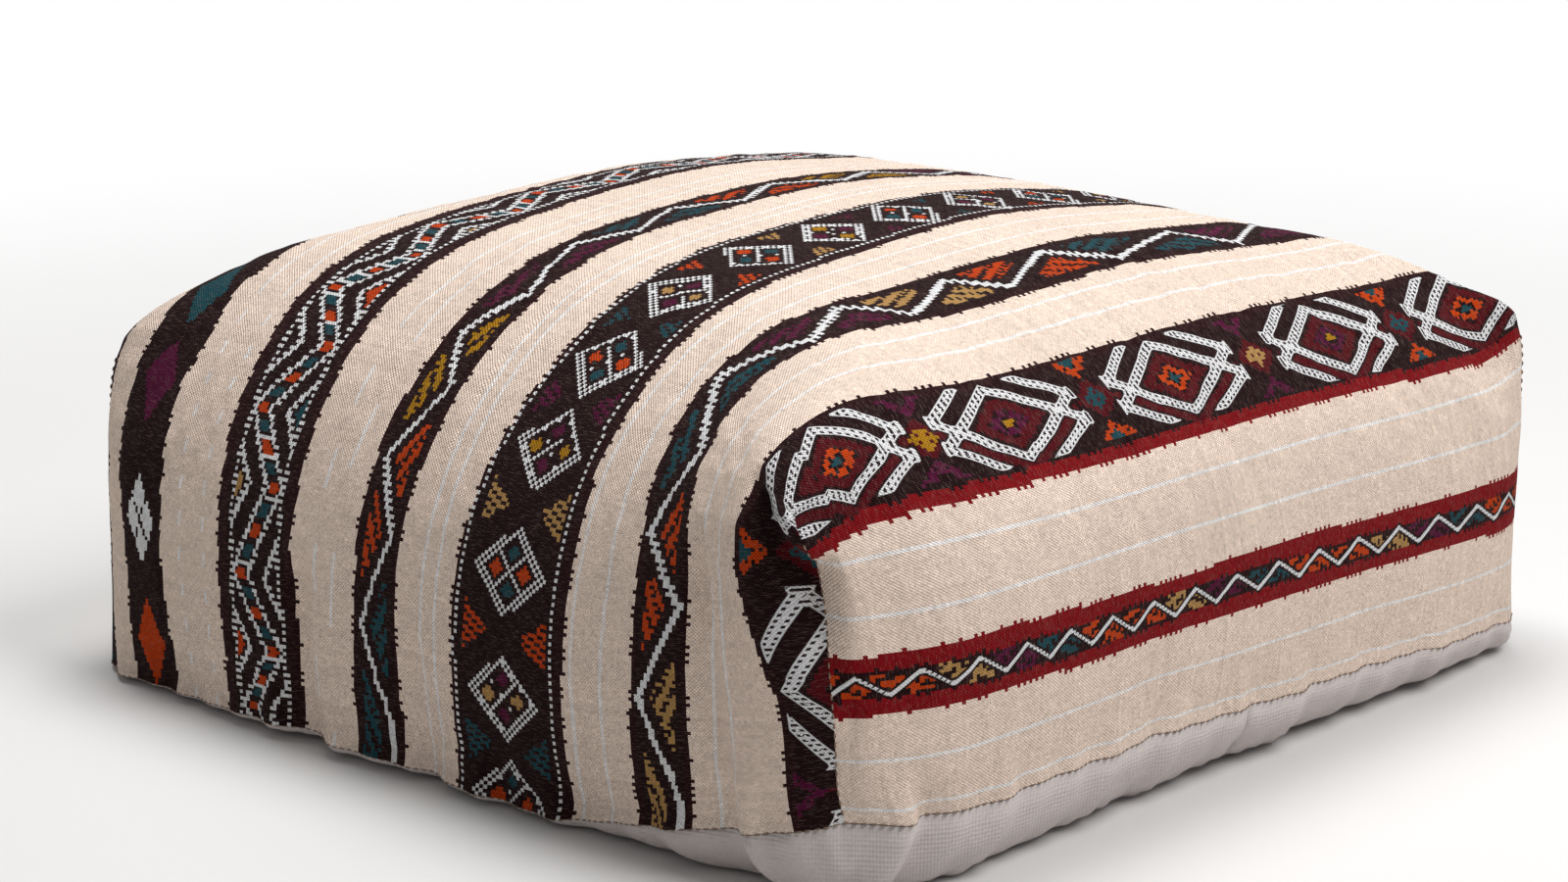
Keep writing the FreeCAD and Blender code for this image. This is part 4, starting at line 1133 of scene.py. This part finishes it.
def sew(name, stitches, thread, node):
    """A piece of sewing thread that stands for a CAD node."""
    new_piece(name, stitches, thread, node)


sew("base_seam_thread", stitch_row(*ring_line(skin, -1), BASE_STITCH), SEAM_THREAD, "base_seam_stitching")
corner_lines = [skin[side][end, CORNER_SEWN] for side, end, _, _ in CORNERS]
corner_rows = [stitch_row(line, line * LEVEL, CORNER_STITCH) for line in corner_lines]
sew("corner_seam_thread", join(corner_rows), SEAM_THREAD, "corner_seam_stitching")

# The zip: woven tapes over the recess, each sewn to the canvas by a row of stitches below.
TAPE_X = 204.0
TAPE_Y = (1.6, 19.6)
TAPE_Z = (10.2, 11.0)
ZIP_STITCH_X, ZIP_STITCH_Y = 200.0, 12.0
TAPE_WAVE, TAPE_WAVE_LENGTH, TAPE_WAVE_START = 0.12, 9.0, 6.0
TAPE_LINES = (103, 10)
for name, sign in (("front", -1), ("back", 1)):
    tape_x = np.linspace(-TAPE_X, TAPE_X, TAPE_LINES[0])
    x, y = np.meshgrid(tape_x, np.linspace(*TAPE_Y, TAPE_LINES[1]), indexing="ij")
    wave = TAPE_WAVE * np.sin(x / TAPE_WAVE_LENGTH) * smooth((y - TAPE_Y[0]) / TAPE_WAVE_START)
    tape = grid_mesh(np.stack([x, sign * y, TAPE_Z[0] + wave], -1), flip=sign > 0)
    tape = new_piece(f"zip_tape_{name}_twill", tape, TAPE, f"zip_tape_{name}")
    thicken(tape, TAPE_Z[1] - TAPE_Z[0])
    line = np.array([[x, sign * ZIP_STITCH_Y, RECESS_HEIGHT] for x in (-ZIP_STITCH_X, ZIP_STITCH_X)])
    stitches = stitch_row(line, np.tile([0.0, 0.0, -1.0], (2, 1)), ZIP_STITCH)
    sew(f"zip_thread_{name}", stitches, THREAD, f"zip_stitching_{name}")

# The insert: a calico case in three pieces, sewn round, and the fibre packed in it.
CASE_GAP = 16.0
FIBRE_GAP = 19.0
CASE_LINES, CASE_ROWS = 71, 24
TOP_SEAM_ROW, FLOOR_SEAM_ROW = 7, 21
CASE_FLOOR = 16.0
CASE_MIDDLE = 138.0
FLOOR_ROUND = 0.16


def shrunk(points, gap):
    """The form drawn in towards its middle by about the gap on every side."""
    middle = np.array([0.0, 0.0, CASE_MIDDLE])
    half = np.array([HALF, HALF, CASE_MIDDLE])
    return middle + (points - middle) * (1 - gap / half)


def case_floor(grids, height):
    """A floor that closes the lower seam's ring, drawn to the middle, round at the rim and level inside."""
    ring = [grids["front"][:-1], grids["right"][:-1], grids["back"][:0:-1], grids["left"][:0:-1]]
    ring = np.concatenate([part[:, FLOOR_SEAM_ROW] for part in ring])
    ring = np.concatenate([ring, ring[:1]])
    share = np.concatenate([np.linspace(0, FLOOR_ROUND, 9)[:-1], np.linspace(FLOOR_ROUND, 0.995, 12)])
    fall = 1 - np.sqrt(np.clip(1 - (1 - np.clip(share / FLOOR_ROUND, 0, 1)) ** 2, 0, 1))
    grid = ring[:, None] * (1 - share)[None, :, None]
    grid[..., 2] = height + (ring[:, None, 2] - height) * fall
    return grid_mesh(grid)


case_u = np.linspace(TOP_U[0], TOP_U[-1], CASE_LINES)
case_v = np.linspace(TOP_V[0], TOP_V[-1], CASE_LINES)
coarse = pouf_skin(case_u, case_v, np.linspace(0, 1, CASE_ROWS))
case = {name: shrunk(grid, CASE_GAP) for name, grid in coarse.items()}
pack = {name: shrunk(grid, FIBRE_GAP) for name, grid in coarse.items()}


def above(grids, row):
    """The top and the sides' rows down to the one given."""
    return {name: grid if name == "top" else grid[:, : row + 1] for name, grid in grids.items()}


band_grids = {name: case[name][:, TOP_SEAM_ROW : FLOOR_SEAM_ROW + 1] for name in OUTWARD}
pack_floor = case_floor(pack, CASE_FLOOR + FIBRE_GAP - CASE_GAP)
for name, mesh, material, slot, node in (
    ("insert_top_calico", skin_mesh(above(case, TOP_SEAM_ROW)), CALICO, "case_calico", "insert_top_panel"),
    ("insert_side_calico", skin_mesh(band_grids), CALICO, "case_calico", "insert_side_band"),
    ("insert_bottom_calico", case_floor(case, CASE_FLOOR), CALICO, "case_calico", "insert_bottom_panel"),
    ("packed_fibre", join([skin_mesh(above(pack, FLOOR_SEAM_ROW)), pack_floor]), FIBRE, "filling_fibre",
     "fibre_filling"),
):
    new_piece(name, weld(*mesh)[:2], material, node)
case_rows = [stitch_row(*ring_line(case, row), CASE_STITCH) for row in (TOP_SEAM_ROW, FLOOR_SEAM_ROW)]
sew("insert_seam_thread", join(case_rows), THREAD, "insert_seam_stitching")

# Floor, light and camera
AZIMUTH, ELEVATION, DISTANCE, FOCAL = 42.72, 15.41, 2.286, 4180.0
AIM = (-0.0105, -0.0174, 0.1249)
IMAGE_WIDTH = 1600
LAMPS = {"key_softbox": ((1.6, 0.4, 2.2), 46.0), "top_softbox": ((-0.5, 0.3, 2.6), 55.0)}
LAMP_AIM = np.array([0, 0, 0.15])
LAMP_SIZE = 1.4
SURROUND = 0.24
FLOOR_HALF = 6000.0
FLOOR_FADE = (0.55, 1.5)


def camera_at_photo():
    """A camera that looks at AIM from the azimuth, elevation and distance; the focal length is in pixels."""
    az, el = math.radians(AZIMUTH), math.radians(ELEVATION)
    back = np.array([math.sin(az) * math.cos(el), -math.cos(az) * math.cos(el), math.sin(el)])
    data = bpy.data.cameras.new("photo_view")
    data.sensor_width = 36.0
    data.lens = FOCAL / IMAGE_WIDTH * data.sensor_width
    camera = linked("photo_view", data)
    camera.location = np.array(AIM) + back * DISTANCE
    camera.rotation_euler = (math.pi / 2 - el, 0, az)
    bpy.context.scene.camera = camera


def seen_directly(tree):
    """1 for rays from the camera or off gloss or glass, 0 for the rest; returns the socket."""
    rays = add(tree, "ShaderNodeLightPath").outputs
    seen = maths(tree, "MAXIMUM", rays["Is Camera Ray"], rays["Is Glossy Ray"])
    return maths(tree, "MAXIMUM", seen, rays["Is Transmission Ray"])


def studio_floor():
    """A wide pale floor that turns to plain white away from the pouf, and still takes its shadow."""
    corners = np.array([(-1, -1, 0), (1, -1, 0), (1, 1, 0), (-1, 1, 0)]) * FLOOR_HALF
    floor = mesh_object("floor", corners, [(0, 1, 2, 3)])
    material, tree, output = new_material("pale_floor")
    far = add(tree, "ShaderNodeVectorMath", {0: object_place(tree)}, operation="LENGTH").outputs["Value"]
    fade = ramp(tree, far, *FLOOR_FADE, interpolation_type="SMOOTHSTEP")
    share = maths(tree, "MULTIPLY", fade, seen_directly(tree))
    matt = add(tree, "ShaderNodeBsdfDiffuse", {"Color": linear("#D9D8D7")})
    white = add(tree, "ShaderNodeEmission", {"Color": (1, 1, 1, 1), "Strength": 1.0})
    mixed = add(tree, "ShaderNodeMixShader", {0: share, 1: matt.outputs[0], 2: white.outputs[0]})
    tree.links.new(mixed.outputs[0], output.inputs["Surface"])
    floor.data.materials.append(material)


def studio_light():
    """A soft white surround and two large soft lamps, one to the right and one overhead."""
    world = bpy.data.worlds.new("studio")
    bpy.context.scene.world = world
    world.use_nodes = True
    tree = world.node_tree
    tree.nodes.clear()
    level = ramp(tree, seen_directly(tree), 0.0, 1.0, SURROUND, 1.0)
    sky = add(tree, "ShaderNodeBackground", {"Color": (1, 1, 1, 1), "Strength": level})
    output = tree.nodes.new("ShaderNodeOutputWorld")
    tree.links.new(sky.outputs[0], output.inputs["Surface"])
    for name, (place, power) in LAMPS.items():
        data = bpy.data.lights.new(name, "AREA")
        data.shape = "SQUARE"
        data.size = LAMP_SIZE
        data.energy = power
        lamp = linked(name, data)
        way = LAMP_AIM - np.array(place)
        lamp.location = place
        tilt = math.acos(-way[2] / np.linalg.norm(way))
        lamp.rotation_euler = (tilt, 0, math.atan2(way[1], way[0]) - math.pi / 2)


studio_floor()
studio_light()
camera_at_photo()
bpy.context.scene.view_settings.view_transform = "Standard"
